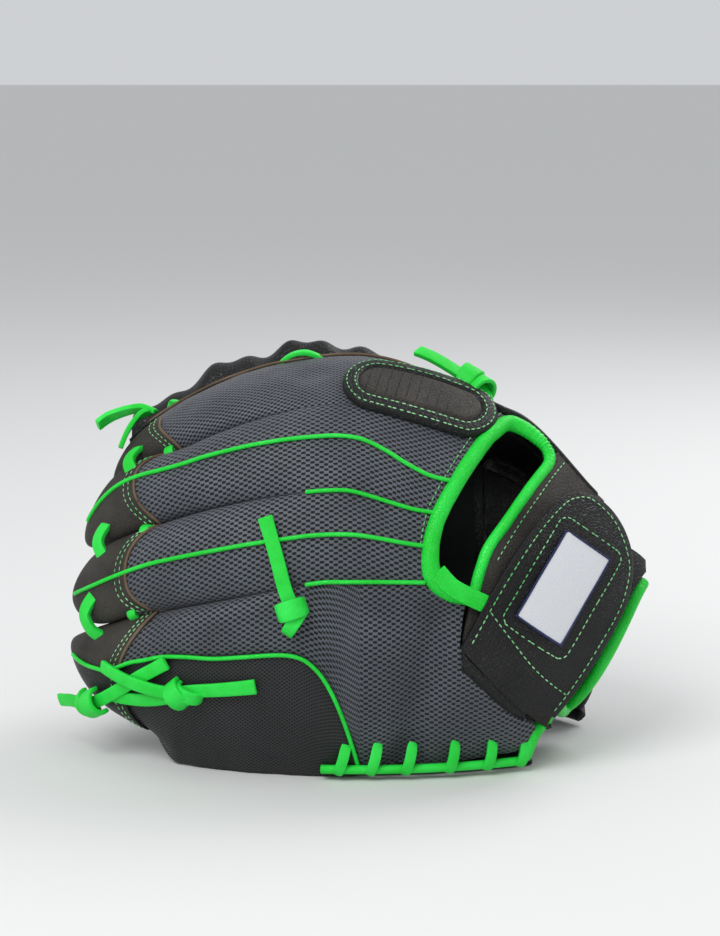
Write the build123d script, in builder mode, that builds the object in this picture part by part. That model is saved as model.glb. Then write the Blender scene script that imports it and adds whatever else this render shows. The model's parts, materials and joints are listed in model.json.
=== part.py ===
"""Fielding glove for ball sports, left hand, half closed and standing on its little-finger edge.

Frame, in millimetres: +X from the fingertips to the wrist, -Y the back of the glove, +Y the far, thumb side,
+Z up. The origin is the centre of the bounding box's base.

The glove is a hollow dome. A place on it is (x, angle, depth): x along the fingers, angle up round the dome from
the back of the hand (0) over the index finger's edge (about 90) and down to the thumb (about 165), and depth
outwards from the dome's skin, so that the ball pocket is at the most negative depths.
"""

import os
from math import asin, cos, degrees, pi, radians, sin, sqrt

from build123d import *

# ---- driving sizes -------------------------------------------------------------------------------------------
dome_half_length = 160.0  # the dome's ellipsoid, along X
dome_back_depth = 105.0  # from its centre to the back of the hand
dome_thumb_depth = 72.0  # from its centre to the thumb
wrist_thumb_depth = 44.0  # the same, at the wrist
dome_height = 135.0  # from its centre to the top
dome_y = 95.0  # the dome's centre
dome_centre_z = 60.0
base_height = 3.6  # the strip of leather it stands on

tip_x = {"pinky": -143.0, "ring": -142.0, "middle": -136.0, "index": -122.0}
cap_x = -100.0  # where the leather tips end and the mesh begins
crotch_x = -25.0  # where the finger stalls open into the hand
opening_x = 30.0  # the finger side of the opening over the back of the hand
palm_end_x = 78.0
stall_gap = 0.6  # between one stall and the next
tip_gap = 1.4  # between one leather tip and the next
fit_gap = 0.4  # between sewn layers

panel_thickness = 4.0  # mesh, foam and lining together
leather_thickness = 3.0
pad_thickness = 4.0
lining_thickness = 1.5
finger_thickness = 27.0  # back to palm, at the fingertips
hand_thickness = 40.0  # back to palm, at the hand
valley_depth = 12.0  # between two fingers
thumb_thickness = 26.0

lace_width = 7.0
lace_thickness = 2.6
piping_radius = 1.5
binding_radius = 4.2

strap_width = 60.0
strap_length = 116.0
strap_thickness = 4.0
cuff_radius = 108.0  # the curve of the strap round the wrist
label_size = (48.0, 25.0)

hinge_y = 91.0  # the fold between the index finger and the thumb, parallel to X
hinge_z = 165.0
thumb_side_x = 58.0  # where the moving thumb side meets the fixed heel
heel_x = 62.0
wrist_x = 118.0
SAMPLES = 12  # points along each side of a slice


def ease(t):
    """0 to 1 smoothly."""
    t = min(max(t, 0.0), 1.0)
    return t * t * (3 - 2 * t)


# ---- the dome and the lines on it ----------------------------------------------------------------------------
def shrink(x):
    """How much smaller the dome's slice is at x than in its middle."""
    return sqrt(1 - (x / dome_half_length) ** 2)


def dome(x, angle, depth=0.0):
    """(y, z) of a place on the dome, which is the slice plane's own frame."""
    k, edge = shrink(x), index_edge_line(x)
    front = dome_back_depth * k + depth
    height = dome_height * k + depth
    if angle <= edge:
        return (dome_y - front * cos(radians(angle)), dome_centre_z + height * sin(radians(angle)))
    far = (dome_thumb_depth + (wrist_thumb_depth - dome_thumb_depth) * ease(x / 110)) * k + depth
    s = radians(90 * (angle - edge) / (180 - edge))
    edge_y, edge_rise = dome_y - front * cos(radians(edge)), height * sin(radians(edge))
    return (edge_y + (dome_y + far - edge_y) * sin(s), dome_centre_z + edge_rise * cos(s))


def place(x, angle, depth=0.0):
    """The same place as a point in space."""
    y, z = dome(x, angle, depth)
    return Vector(x, y, z)


def angle_where(test, low, high):
    """The angle between low and high at which a growing quantity becomes positive."""
    for _ in range(40):
        middle = (low + high) / 2
        low, high = (low, middle) if test(middle) > 0 else (middle, high)
    return (low + high) / 2


def angle_at_height(x, depth, height):
    """Angle on the back of the hand at which a layer is this far above the ground."""
    return angle_where(lambda a: dome(x, a, depth)[1] - height, -88, 80)


def ground_angle(x, depth):
    return angle_at_height(x, depth, base_height + fit_gap)


def far_ground_angle(x, depth):
    return angle_where(lambda a: 1 - dome(x, a, depth)[1], 95, 262)


def pinky_ring_line(x):
    return 16 + 0.078 * min(x + 20, 0)


def ring_middle_line(x):
    return 35.5 - 4.5 * ease((x + 10) / 45)


def middle_index_line(x):
    return 59 - 8 * ease(x / 55) + 8 * ease((-85 - x) / 40)


def index_edge_line(x):
    """The welted edge of the index finger, where the thumb side begins."""
    return 84.5 - 2.5 * ease((-60 - x) / 40) - 20.5 * ease((x + 5) / 80) - 18 * ease((x - 75) / 50)


def pinky_piping_line(x):
    return -1.5 - 20 * ease((x + 32) / 32) - 6 * ease((-90 - x) / 30)


def opening_left_line(x):
    """Upper edge of the hand opening, as an angle."""
    return 24 + 41 * ((x - opening_x) / 42) ** 0.9


def thickness(x):
    """Back to palm, through the glove."""
    grown = finger_thickness + (hand_thickness - finger_thickness) * ease((x + 100) / 120)
    return grown - 20 * ease((x - 95) / 45)


def valley(x):
    return valley_depth * (1 - ease((x + 95) / 95))


# ---- slices and walls ----------------------------------------------------------------------------------------
def slice_face(x, outer, inner):
    """The face at x whose outer and inner sides run through these (y, z) points."""
    with BuildSketch(Plane.YZ.offset(x)) as face:
        with BuildLine():
            top = Spline(*outer)
            low = Spline(*reversed(inner))
            Line(top @ 1, low @ 0)
            Line(low @ 1, top @ 0)
        make_face()
    return face.sketch


def band(x, low, high, outer, inner):
    """Slice of an even layer between two angles, which may be functions of the depth."""

    def side(depth):
        a = low(depth) if callable(low) else low
        b = high(depth) if callable(high) else high
        return [dome(x, a + (b - a) * i / SAMPLES, depth) for i in range(SAMPLES + 1)]

    return slice_face(x, side(outer), side(inner))


def angle_of(x, length):
    """The angle that a length along the slice covers."""
    return degrees(length / (0.5 * (dome_back_depth + dome_height) * shrink(x)))


def stall_slice(x, low, high, side_low=True, side_high=True):
    """Slice of a finger's back panel: an arch with a wall down to the palm on each side that meets a neighbour."""
    gap, wall = angle_of(x, stall_gap / 2), angle_of(x, panel_thickness * 0.8)
    foot = -thickness(x) + leather_thickness + fit_gap
    a, b = low + gap, high - gap
    dip = valley(x)

    def arch(t, inside):
        rise = sin(pi * t) ** 0.8 if side_low and side_high else sin(pi / 2 * (t if side_low else 1 - t)) ** 0.8
        return -dip * (1 - rise) - inside

    outer, inner = [], []
    for i in range(SAMPLES + 1):
        t = i / SAMPLES
        outer.append(dome(x, a + (b - a) * t, arch(t, 0)))
        c = a + (wall if side_low else 0)
        d = b - (wall if side_high else 0)
        inner.append(dome(x, c + (d - c) * t, arch(t, panel_thickness)))
    with BuildSketch(Plane.YZ.offset(x)) as face:
        with BuildLine():
            over = Spline(*outer)
            under = Spline(*reversed(inner))
            if side_high:
                Polyline(over @ 1, dome(x, b, foot), dome(x, b - wall, foot), under @ 0)
            else:
                Line(over @ 1, under @ 0)
            if side_low:
                Polyline(under @ 1, dome(x, a + wall, foot), dome(x, a, foot), over @ 0)
            else:
                Line(under @ 1, over @ 0)
        make_face()
    return face.sketch


def tip_slice(x, low, high, outer, inner):
    """Slice of a fingertip: rounded on all four corners."""
    middle, half = (low + high) / 2, (high - low) / 2
    core, reach = (outer + inner) / 2, (outer - inner) / 2
    points = []
    for i in range(16):
        t = 2 * pi * i / 16
        c, q = cos(t), sin(t)
        c, q = (abs(c) ** 0.55) * (1 if c > 0 else -1), (abs(q) ** 0.55) * (1 if q > 0 else -1)
        points.append(dome(x, middle + half * c, core + reach * q))
    with BuildSketch(Plane.YZ.offset(x)) as face:
        with BuildLine():
            Spline(*points, periodic=True)
        make_face()
    return face.sketch


def layer(stations, low, high, outer, inner):
    """Slices of a sewn layer: low and high give angles at (x, depth), outer and inner give depths at x."""
    faces = []
    for x in stations:
        top = outer(x) if callable(outer) else outer
        under = inner(x) if callable(inner) else inner
        faces.append(band(x, lambda d: low(x, d), lambda d: high(x, d), top, under))
    return faces


def edge(line, margin=0.0):
    """A line on the dome as a layer's edge, moved by a margin in millimetres."""
    return lambda x, depth: line(x) + angle_of(x, margin)


def steps(first, last, count):
    return [first + (last - first) * i / count for i in range(count + 1)]


def dome_line(points, depth):
    """A smooth curve over the dome through (x, angle) points."""
    return Spline(*[place(x, a, depth) for x, a in points])


def outward(x, angle):
    """The dome's outward normal."""
    along = place(x + 1, angle) - place(x - 1, angle)
    up = place(x, angle + 1) - place(x, angle - 1)
    normal = along.cross(up).normalized()
    return normal if normal.dot(place(x, angle, 5) - place(x, angle)) > 0 else -normal


def above(x, angle, height):
    """A point at a true height above the dome's skin."""
    return place(x, angle) + outward(x, angle) * height


def flat_cord(spots, width=lace_width, thick=lace_thickness):
    """Sections of a flat lace through (x, angle, height) spots; a spot may add its own width and thickness."""
    centres = [above(*spot[:3]) for spot in spots]
    faces = []
    for i, spot in enumerate(spots):
        tangent = (centres[min(i + 1, len(spots) - 1)] - centres[max(i - 1, 0)]).normalized()
        wide, high = spot[3:] if len(spot) > 3 else (width, thick)
        with BuildSketch(Plane(origin=centres[i], x_dir=tangent.cross(outward(*spot[:2])), z_dir=tangent)) as face:
            RectangleRounded(wide, high, high * 0.3)
        faces.append(face.sketch)
    return faces


pieces = {}


def keep(builder, name):
    """Puts a finished piece on the list to be named and written."""
    pieces[name] = builder.part


finger_lines = {
    "pinky": (pinky_piping_line, pinky_ring_line),
    "ring": (pinky_ring_line, ring_middle_line),
    "middle": (ring_middle_line, middle_index_line),
    "index": (middle_index_line, index_edge_line),
}
stall_stations = [cap_x, -80.0, -60.0, -42.0, crotch_x]

# ---- fingers: a mesh back panel and a leather tip each ---------------------------------------------------------
for finger, (low_line, high_line) in finger_lines.items():
    with BuildPart() as back_panel:
        loft([stall_slice(x, low_line(x), high_line(x), finger != "pinky") for x in stall_stations])
    keep(back_panel, f"{finger}_back_panel")

for finger, (low_line, high_line) in finger_lines.items():
    end = tip_x[finger]
    start = cap_x - fit_gap
    faces = []
    for t in (0, 0.3, 0.55, 0.78, 0.93, 1.0):
        x = start + (end - start) * t
        round_off = sqrt(1 - (0.94 * t) ** 2)
        low = (lambda d, x=x: ground_angle(x, d)) if finger == "pinky" else low_line(x)
        low_number = ground_angle(x, -10) if finger == "pinky" else low_line(x)
        middle = (low_number + high_line(x)) / 2
        half = (high_line(x) - low_number) / 2 * round_off - angle_of(x, tip_gap / 2)
        depth = thickness(x) / 2
        faces.append(tip_slice(x, middle - half, middle + half, -depth + depth * round_off, -depth - depth * round_off))
    with BuildPart() as tip_cap:
        loft(faces)
    keep(tip_cap, f"{finger}_tip_cap")

# ---- the back of the hand, with its opening --------------------------------------------------------------------
opening_line = [
    (55, 11.5), (63, 19), (78, 33), (95, 52), (90, 59), (72, 62), (54, 51), (42, 40), (35, 31), (31.5, 24), (33, 17),
    (42, 11), (53, 10),
]
with BuildPart() as opening_tube:
    with BuildLine() as opening_path:
        Spline(*[place(x, a, -2) for x, a in opening_line])
    with BuildSketch(Plane(opening_path.line @ 0, z_dir=opening_path.line % 0)):
        Circle(binding_radius)
    sweep()
keep(opening_tube, "opening_binding")

with BuildPart() as opening_cutter:
    with BuildSketch(Plane.XZ.offset(80)):
        with BuildLine():
            outline = Spline(*[(x, place(x, a, -2).Z) for x, a in opening_line])
            Line(outline @ 1, outline @ 0)
        make_face()
    extrude(amount=-160)
    with BuildLine() as cutter_path:
        Spline(*[place(x, a, -2) for x, a in opening_line])
    with BuildSketch(Plane(cutter_path.line @ 0, z_dir=cutter_path.line % 0)):
        Circle(binding_radius + fit_gap)
    sweep()


def wrist_low(x, depth):
    """Lower edge of the outer layer: the ground, then rising behind the strap."""
    return max(ground_angle(x, depth), -26 + 34 * ease((x - 74) / 50))


hand_stations = steps(crotch_x + 0.5, wrist_x, 9)
band_outline = [(54, 11), (47, 3), (68, -9), (91, -21), (125, -20), (125, 62), (98, 56), (90, 50), (78, 33), (63, 19)]
with BuildPart() as hand_back:
    loft(layer(hand_stations, wrist_low, edge(index_edge_line), 0, -panel_thickness))
    add(opening_cutter.part, mode=Mode.SUBTRACT)
    with BuildSketch(Plane.XZ.offset(80)):
        with BuildLine():
            Polyline(*[(x, place(x, a).Z) for x, a in band_outline], close=True)
        make_face()
        offset(amount=fit_gap)
    extrude(amount=-160, mode=Mode.SUBTRACT)
keep(hand_back, "hand_back_panel")

with BuildPart() as wrist_band:
    loft(layer(hand_stations, wrist_low, edge(index_edge_line), 0, -panel_thickness))
    add(opening_cutter.part, mode=Mode.SUBTRACT)
    with BuildSketch(Plane.XZ.offset(80)):
        with BuildLine():
            Polyline(*[(x, place(x, a).Z) for x, a in band_outline], close=True)
        make_face()
    extrude(amount=-160, mode=Mode.INTERSECT)
keep(wrist_band, "wrist_band")

with BuildPart() as hand_lining:
    loft(layer(steps(-22, 27, 4), lambda x, d: ground_angle(x, d) + 6, edge(index_edge_line, -10),
               -panel_thickness - 1.2, -panel_thickness - 1.2 - lining_thickness))
keep(hand_lining, "hand_lining")

with BuildPart() as side_panel:
    loft(layer(steps(cap_x, crotch_x, 5), ground_angle, edge(pinky_piping_line, -0.5), 0,
               -panel_thickness))
keep(side_panel, "little_finger_side_panel")

# ---- the palm --------------------------------------------------------------------------------------------------
palm_y = hinge_y - 2.6


def palm_top(x, depth):
    """Upper edge of the palm, where it stops short of the fold to the thumb."""
    reach = dome_back_depth * shrink(x) + depth
    limit = 90 - degrees(asin(min(0.99, (dome_y - palm_y) / reach)))
    return min(limit, index_edge_line(x) - 0.5)


def palm_low(x, depth):
    return angle_at_height(x, depth, base_height + fit_gap)


def palm_depth(extra):
    return lambda x: -thickness(x) + extra


with BuildPart() as palm_shell:
    loft(layer(steps(cap_x, 60, 8), palm_low, palm_top, palm_depth(leather_thickness), palm_depth(0)))
keep(palm_shell, "palm_shell")

pad_start = leather_thickness + fit_gap
with BuildPart() as palm_pad:
    loft(layer(steps(crotch_x + 2, 56, 5), lambda x, d: -8, lambda x, d: 52, palm_depth(pad_start + pad_thickness),
               palm_depth(pad_start)))
keep(palm_pad, "palm_pad")

lining_start = pad_start + pad_thickness + fit_gap
with BuildPart() as palm_lining:
    loft(layer(steps(crotch_x + 2, 56, 5), lambda x, d: -10, lambda x, d: 54,
               palm_depth(lining_start + lining_thickness), palm_depth(lining_start)))
keep(palm_lining, "palm_lining")

strip_stations = steps(cap_x, 84, 8)
front_edge = [(x, dome(x, ground_angle(x, 0), 0)[0]) for x in strip_stations]
back_edge = [(x, dome(x, palm_low(x, -thickness(x)), -thickness(x))[0]) for x in strip_stations]
with BuildPart() as base_strip:
    with BuildSketch():
        with BuildLine():
            Polyline(*front_edge, *reversed(back_edge), close=True)
        make_face()
    extrude(amount=base_height)
keep(base_strip, "base_strip")

# ---- the heel --------------------------------------------------------------------------------------------------
heel_pad_depths = (-18.0, -28.0)


def rim_height(x):
    """Height of the green bound rim of the heel."""
    return base_height + fit_gap + 14 * ease((x - 78) / 26) + 68 * ease((x - 95) / 50)


def heel_low(x, depth):
    return angle_at_height(x, depth, rim_height(x))


with BuildPart() as heel_palm:
    loft(layer([60.4, 72, 84, 96, 108, 120, 131, 141], heel_low, edge(index_edge_line, -5),
               palm_depth(leather_thickness), palm_depth(0)))
keep(heel_palm, "heel_palm")

with BuildPart() as little_finger_heel_pad:
    loft(layer(steps(heel_x, 98, 4), lambda x, d: heel_low(x, d) + 6, lambda x, d: 36,
               palm_depth(pad_start + 8), palm_depth(pad_start + 0.6)))
keep(little_finger_heel_pad, "little_finger_heel_pad")

heel_stations = steps(heel_x, wrist_x, 5)
with BuildPart() as thumb_heel_back:
    loft(layer(heel_stations, edge(index_edge_line, 2.0), far_ground_angle, 0, -panel_thickness))
    add(opening_cutter.part, mode=Mode.SUBTRACT)
keep(thumb_heel_back, "thumb_heel_back")

with BuildPart() as thumb_heel_pad:
    loft(layer(heel_stations, lambda x, d: 100, lambda x, d: 178, heel_pad_depths[0], heel_pad_depths[1]))
keep(thumb_heel_pad, "thumb_heel_pad")

with BuildPart() as thumb_heel_base:
    loft(layer(heel_stations, lambda x, d: 178.5, far_ground_angle, -panel_thickness - 2 * fit_gap, heel_pad_depths[1]))
keep(thumb_heel_base, "thumb_heel_base")

# the crease of the palm at the wrist, from the heel palm over to the thumb's heel pad
faces = []
for x in steps(heel_x + 1, 108, 4):
    d = -thickness(x)
    near = dome(x, index_edge_line(x) - angle_of(x, 5), d)
    far_angle = angle_where(lambda a: near[1] - dome(x, a, heel_pad_depths[1])[1], index_edge_line(x) + 5, 200)
    far_side = dome(x, far_angle, heel_pad_depths[1] - 4 * fit_gap)
    half = leather_thickness / 2
    with BuildSketch(Plane.YZ.offset(x)) as crease:
        with BuildLine():
            Polyline((near[0] + 2 * fit_gap, near[1] - half), (far_side[0], far_side[1] - half),
                     (far_side[0], far_side[1] + half), (near[0] + 2 * fit_gap, near[1] + half), close=True)
        make_face()
    faces.append(crease.sketch)
with BuildPart() as heel_crease:
    loft(faces)
keep(heel_crease, "heel_crease")

rim_radius = 3.2
rim_points = []
for x in (88, 96, 104, 112, 120, 130, 139):
    d = -thickness(x) + leather_thickness / 2
    slope = (rim_height(x + 1) - rim_height(x - 1)) / 2
    below = (rim_radius + 2 * fit_gap) * 1.6 * sqrt(1 + slope ** 2)
    rim_points.append(place(x, heel_low(x, d) - angle_of(x, below), d))
with BuildPart() as heel_binding:
    with BuildLine() as rim_path:
        Spline(*rim_points)
    with BuildSketch(Plane(rim_path.line @ 0, z_dir=rim_path.line % 0)):
        Circle(rim_radius)
    sweep()
keep(heel_binding, "heel_binding")

# ---- the thumb side, which folds over the pocket ---------------------------------------------------------------
thumb_thickness = 26.0


def fold_start(x, drop):
    """Where a sheet of the thumb side begins, clear of the fold in both directions."""
    crest = dome(x, 103, 0)[1]
    z = min(hinge_z - drop, crest - 5 - drop)
    return (hinge_y + 1.2 + 0.48 * (hinge_z - z), z)


def fold_sheet(x, thick, drop, angles, depth):
    """Slice of a sheet that starts at the fold and joins the dome's far side at these angles."""
    points = [fold_start(x, drop)] + [dome(x, a, depth) for a in angles]
    inner = []
    for i, (y, z) in enumerate(points):
        (y1, z1), (y2, z2) = points[max(i - 1, 0)], points[min(i + 1, len(points) - 1)]
        length = sqrt((y2 - y1) ** 2 + (z2 - z1) ** 2)
        inner.append((y + thick * (z2 - z1) / length, z - thick * (y2 - y1) / length))
    return slice_face(x, points, inner)


with BuildPart() as web_panel:
    loft([fold_sheet(x, 4, 0, (107, 115, 124), 3) for x in steps(-116, crotch_x - 3, 5)])
keep(web_panel, "web_panel")

thumb_stations = steps(crotch_x - 2.4, thumb_side_x, 5)
with BuildPart() as thumb_crotch_back:
    loft([fold_sheet(x, panel_thickness, 0, (107, 115, 124), 0) for x in thumb_stations])
keep(thumb_crotch_back, "thumb_crotch_back")

with BuildPart() as thumb_crotch_palm:
    loft([fold_sheet(x, leather_thickness, 7, (115, 120, 124), leather_thickness - thumb_thickness)
          for x in thumb_stations])
keep(thumb_crotch_palm, "thumb_crotch_palm")

thumb_root = -84.0
long_stations = steps(thumb_root, thumb_side_x, 7)
with BuildPart() as thumb_back_panel:
    loft(layer(long_stations, lambda x, d: 124.5, lambda x, d: 166, 0, -panel_thickness))
keep(thumb_back_panel, "thumb_back_panel")

with BuildPart() as thumb_palm_panel:
    loft(layer(long_stations, lambda x, d: 124.5, lambda x, d: 166, -thumb_thickness + leather_thickness, -thumb_thickness))
keep(thumb_palm_panel, "thumb_palm_panel")

with BuildPart() as thumb_edge_wall:
    loft(layer(long_stations, lambda x, d: 166.4, lambda x, d: 169.5, 0, -thumb_thickness))
keep(thumb_edge_wall, "thumb_edge_wall")

with BuildPart() as thumb_web_wall:
    loft(layer(steps(thumb_root, crotch_x - 3, 4), lambda x, d: 124.8, lambda x, d: 127.5,
               -panel_thickness - 2 * fit_gap, -thumb_thickness + leather_thickness + 2 * fit_gap))
keep(thumb_web_wall, "thumb_web_wall")

faces = []
for t in (0, 0.35, 0.65, 0.88, 1.0):
    x = thumb_root - fit_gap - 24 * t
    round_off = sqrt(1 - (0.94 * t) ** 2)
    half, reach = 22.5 * round_off, thumb_thickness / 2 * round_off
    faces.append(tip_slice(x, 147.5 - half, 147.5 + half, -thumb_thickness / 2 + reach, -thumb_thickness / 2 - reach))
with BuildPart() as thumb_tip_cap:
    loft(faces)
keep(thumb_tip_cap, "thumb_tip_cap")

with BuildPart() as thumb_lining:
    loft(layer(steps(-40, 50, 5), lambda x, d: 130, lambda x, d: 162, -panel_thickness - 1.2,
               -panel_thickness - 1.2 - lining_thickness))
keep(thumb_lining, "thumb_lining")

with BuildPart() as web_bar:
    loft(layer(steps(-112, crotch_x - 6, 4), lambda x, d: 109, lambda x, d: 117, 7.4, 4.3))
keep(web_bar, "web_bar")

with BuildPart() as web_lace:
    loft(flat_cord([(x, 121.5, 4.9) for x in (-110, -92, -74, -56, -38)], 6, lace_thickness))
keep(web_lace, "web_lace")

with BuildPart() as thumb_crotch_lace:
    loft(flat_cord([(x, 108, 2.2) for x in (-18, -8, 2, 10)], lace_width, lace_thickness))
keep(thumb_crotch_lace, "thumb_crotch_lace")

# ---- the wrist strap -------------------------------------------------------------------------------------------
strap_base = 3.0
hinge_points = [(48, 2.0), (90, -19.0)]


def strap_low(x, depth):
    if x <= 90:
        return 2.0 - 21 * (x - 48) / 42 + 1.2
    return -19 + 4 * (x - 90) / 10 if x < 100 else -15 + 15 * ((x - 100) / 19) ** 1.25 if x < 119 else 22 * ((x - 119) / 17) + 0.6


def strap_high(x, depth):
    line = 4 + 0.70 * (x - 47)
    return min(line, 46 - 12 * ease((x - 126) / 13))


def root_high(x, depth):
    return 2.0 - 21 * (x - 48) / 42 - 1.8


def root_low(x, depth):
    return min(ground_angle(x, depth) + 11, root_high(x, depth) - 4)


with BuildPart() as wrist_strap:
    loft(layer([50, 58, 67, 78, 84, 90, 95, 100, 105, 110, 115, 119, 124, 128, 134, 138], strap_low, strap_high, strap_base + strap_thickness,
               strap_base), ruled=True)
keep(wrist_strap, "wrist_strap")

with BuildPart() as strap_root:
    loft(layer([49, 57, 65, 72], root_low, root_high, strap_base + strap_thickness, fit_gap))
keep(strap_root, "strap_root")

with BuildPart() as loop_patch:
    loft(layer([104, 110, 116], lambda x, d: 8 + 0.7 * (x - 104), lambda x, d: 30 + 0.3 * (x - 104), 1.3, 0.3))
keep(loop_patch, "loop_patch")

with BuildPart() as hook_patch:
    loft(layer([104, 110, 116], lambda x, d: 8 + 0.7 * (x - 104), lambda x, d: 30 + 0.3 * (x - 104), 2.6, 1.6))
keep(hook_patch, "hook_patch")

top = strap_base + strap_thickness
label_centre = place(94, 11.5, top)
label_normal = (place(94, 11.5, top + 5) - label_centre).normalized()
label_along = (place(108, 23, top) - place(80, 0, top)).normalized()
with BuildPart() as label_patch:
    with BuildSketch(Plane(origin=label_centre - label_normal * 6, x_dir=label_along, z_dir=label_normal)):
        RectangleRounded(label_size[0], label_size[1], 3)
    extrude(amount=12)
    with BuildPart(mode=Mode.INTERSECT):
        loft(layer([58, 70, 82, 94, 106, 118, 128], lambda x, d: -30, lambda x, d: 50, top + 1.5, top + 0.5))
keep(label_patch, "label_patch")

# ---- pads and pipings ------------------------------------------------------------------------------------------
pad_centre = place(29, 63, 0)
pad_normal = (place(29, 63, 5) - pad_centre).normalized()
pad_along = (place(62, 58, 0) - place(-4, 66, 0)).normalized()
for name, length, width, bottom, rise in (
    ("index_pad_border", 76, 38, 0.5, 3.4), ("index_pad_insert", 60, 22, 4.5, 1.8)
):
    with BuildPart() as pad:
        with BuildSketch(Plane(origin=pad_centre - pad_normal * 20, x_dir=pad_along, z_dir=pad_normal)):
            SlotOverall(length, width)
        extrude(amount=40)
        with BuildPart(mode=Mode.INTERSECT):
            loft(layer(steps(-24, 76, 6), lambda x, d: 30, edge(index_edge_line, -4.4), bottom + rise, bottom))
        add(opening_cutter.part, mode=Mode.SUBTRACT)
    keep(pad, name)


def valley_spots(line, first, last, count, lift=0.0):
    """Places along a line on the dome, following the dip between two fingers if it is a valley."""
    return [(x, line(x), lift) for x in steps(first, last, count)]


piping_runs = {
    "middle_piping": valley_spots(lambda x: (ring_middle_line(x) + middle_index_line(x)) / 2 + 1.5, -99, 36, 6, 1.9),
    "ring_piping": valley_spots(lambda x: (pinky_ring_line(x) + ring_middle_line(x)) / 2, -99, 27, 6, 1.9),
    "little_finger_piping": valley_spots(pinky_piping_line, -99, -26, 5, 1.9),
    "upper_short_piping": valley_spots(ring_middle_line, -23, 30, 4, 1.9),
    "lower_short_piping": valley_spots(pinky_ring_line, -23, 27, 4, 1.9),
    "index_welt": valley_spots(lambda x: index_edge_line(x) - 0.9, -99, 60, 7, 1.9),
}
for name, spots in piping_runs.items():
    with BuildPart() as piping:
        with BuildLine() as run:
            Spline(*[above(*spot) for spot in spots])
        with BuildSketch(Plane(run.line @ 0, z_dir=run.line % 0)):
            Circle(piping_radius)
        sweep()
    keep(piping, name)

# ---- laces and knots -------------------------------------------------------------------------------------------
finger_joins = {
    "index_middle_lace": (-110, 62, 0.0),
    "middle_ring_lace": (-125, 35, -1.6),
    "ring_little_finger_lace": (-130, 12, -2.6),
}
for name, (x, angle, sunk) in finger_joins.items():
    with BuildPart() as lace:
        loft(flat_cord([(x + 3, angle + 10, 2.1 + sunk), (x, angle + 5, 3.0 + sunk), (x - 2, angle, 3.4 + sunk),
                        (x, angle - 5, 3.0 + sunk), (x + 3, angle - 10, 2.1 + sunk)]))
    keep(lace, name)


knots = {
    "crotch_knot": [(-31, 9.5, 3.5, 7, 5), (-33, 12, 4.6, 10, 8), (-35, 14.8, 3.6, 8, 5), (-38, 19.5, 3.4), (-41, 24, 5.0),
                    (-44, 28.5, 5.0)],
    "little_finger_knot_low": [(-141, -30, -2.0), (-135, -30, 0.2), (-131, -29.5, 2.0, 8, 5), (-127, -28, 3.4, 10, 8),
                               (-122, -25, 2.6, 8, 5), (-116, -21, 2.0), (-106, -14, 2.2), (-97, -8, 2.2)],
    "little_finger_knot_high": [(-119, -25, 6.4), (-110, -23, 6.4), (-101, -19.5, 4.6), (-93, -17, 3.4, 8, 5),
                                (-87, -15, 4.6, 10, 8), (-81, -13.6, 3.4, 8, 5), (-75, -12.5, 2.0), (-64, -10, 2.0),
                                (-52, -8, 2.0)],
    "index_tip_knot": [(-103, 76.5, 3.0, 8, 5), (-107, 77, 3.4, 10, 8), (-111, 77.4, 2.6, 8, 5), (-115, 78, 2.0),
                       (-121, 79, 2.4)],
    "thumb_root_knot": [(58, 69.5, 5.0, 8, 4), (54, 71, 7.0, 10, 7), (50, 72.6, 5.4, 8, 4), (45, 74, 4.9), (36, 76.6, 4.9),
                        (27, 78.4, 4.9)],
}
for name, spots in knots.items():
    with BuildPart() as tied:
        loft(flat_cord(spots), ruled=True)
    keep(tied, name)

# ---- the laced seam along the ground ---------------------------------------------------------------------------
seam_depth = 2.6


def seam_angle(x):
    return angle_at_height(x, seam_depth, 5.4)


with BuildPart() as seam_lace:
    with BuildLine() as seam_path:
        Spline(*[place(x, seam_angle(x), seam_depth) for x in (-17, 0, 20, 40, 60, 78)])
    with BuildSketch(Plane(seam_path.line @ 0, z_dir=seam_path.line % 0)):
        Circle(2.1)
    sweep()
    for x in (-8, 5, 21.5, 41.5, 59, 75):
        a = seam_angle(x)
        with BuildPart():
            loft(flat_cord([(x + 4, a + 6.0, 1.8), (x + 2, a + 2.5, 4.4), (x, a, 5.6), (x - 1, a - 1.2, 5.2)], 5.5, 2.2))
keep(seam_lace, "seam_lace")

# ---- into the frame: the origin is the centre of the base ------------------------------------------------------
os.makedirs("parts", exist_ok=True)
whole = Compound(children=[Part(p.wrapped) for p in pieces.values()]).bounding_box()
frame_shift = Location((-whole.center().X, -whole.center().Y, -whole.min.Z))
for name, part in pieces.items():
    moved = part.moved(frame_shift)
    moved.label = name
    export_step(moved, f"parts/{name}.step")
print("moved into the frame by", tuple(round(v, 3) for v in frame_shift.position))
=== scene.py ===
# %% [markdown]
# # A fielding glove
# A glove for ball games is a shell of leather and mesh panels, sewn edge to edge, padded, and laced
# together. Everything here is built round the fixed frame that the engineering model gives: each
# panel is a grid laid on the glove's own curve, so panels, seams and laces all share one shape.

# %% Load the frame
import json
import math

import bpy
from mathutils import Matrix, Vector, noise

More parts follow.
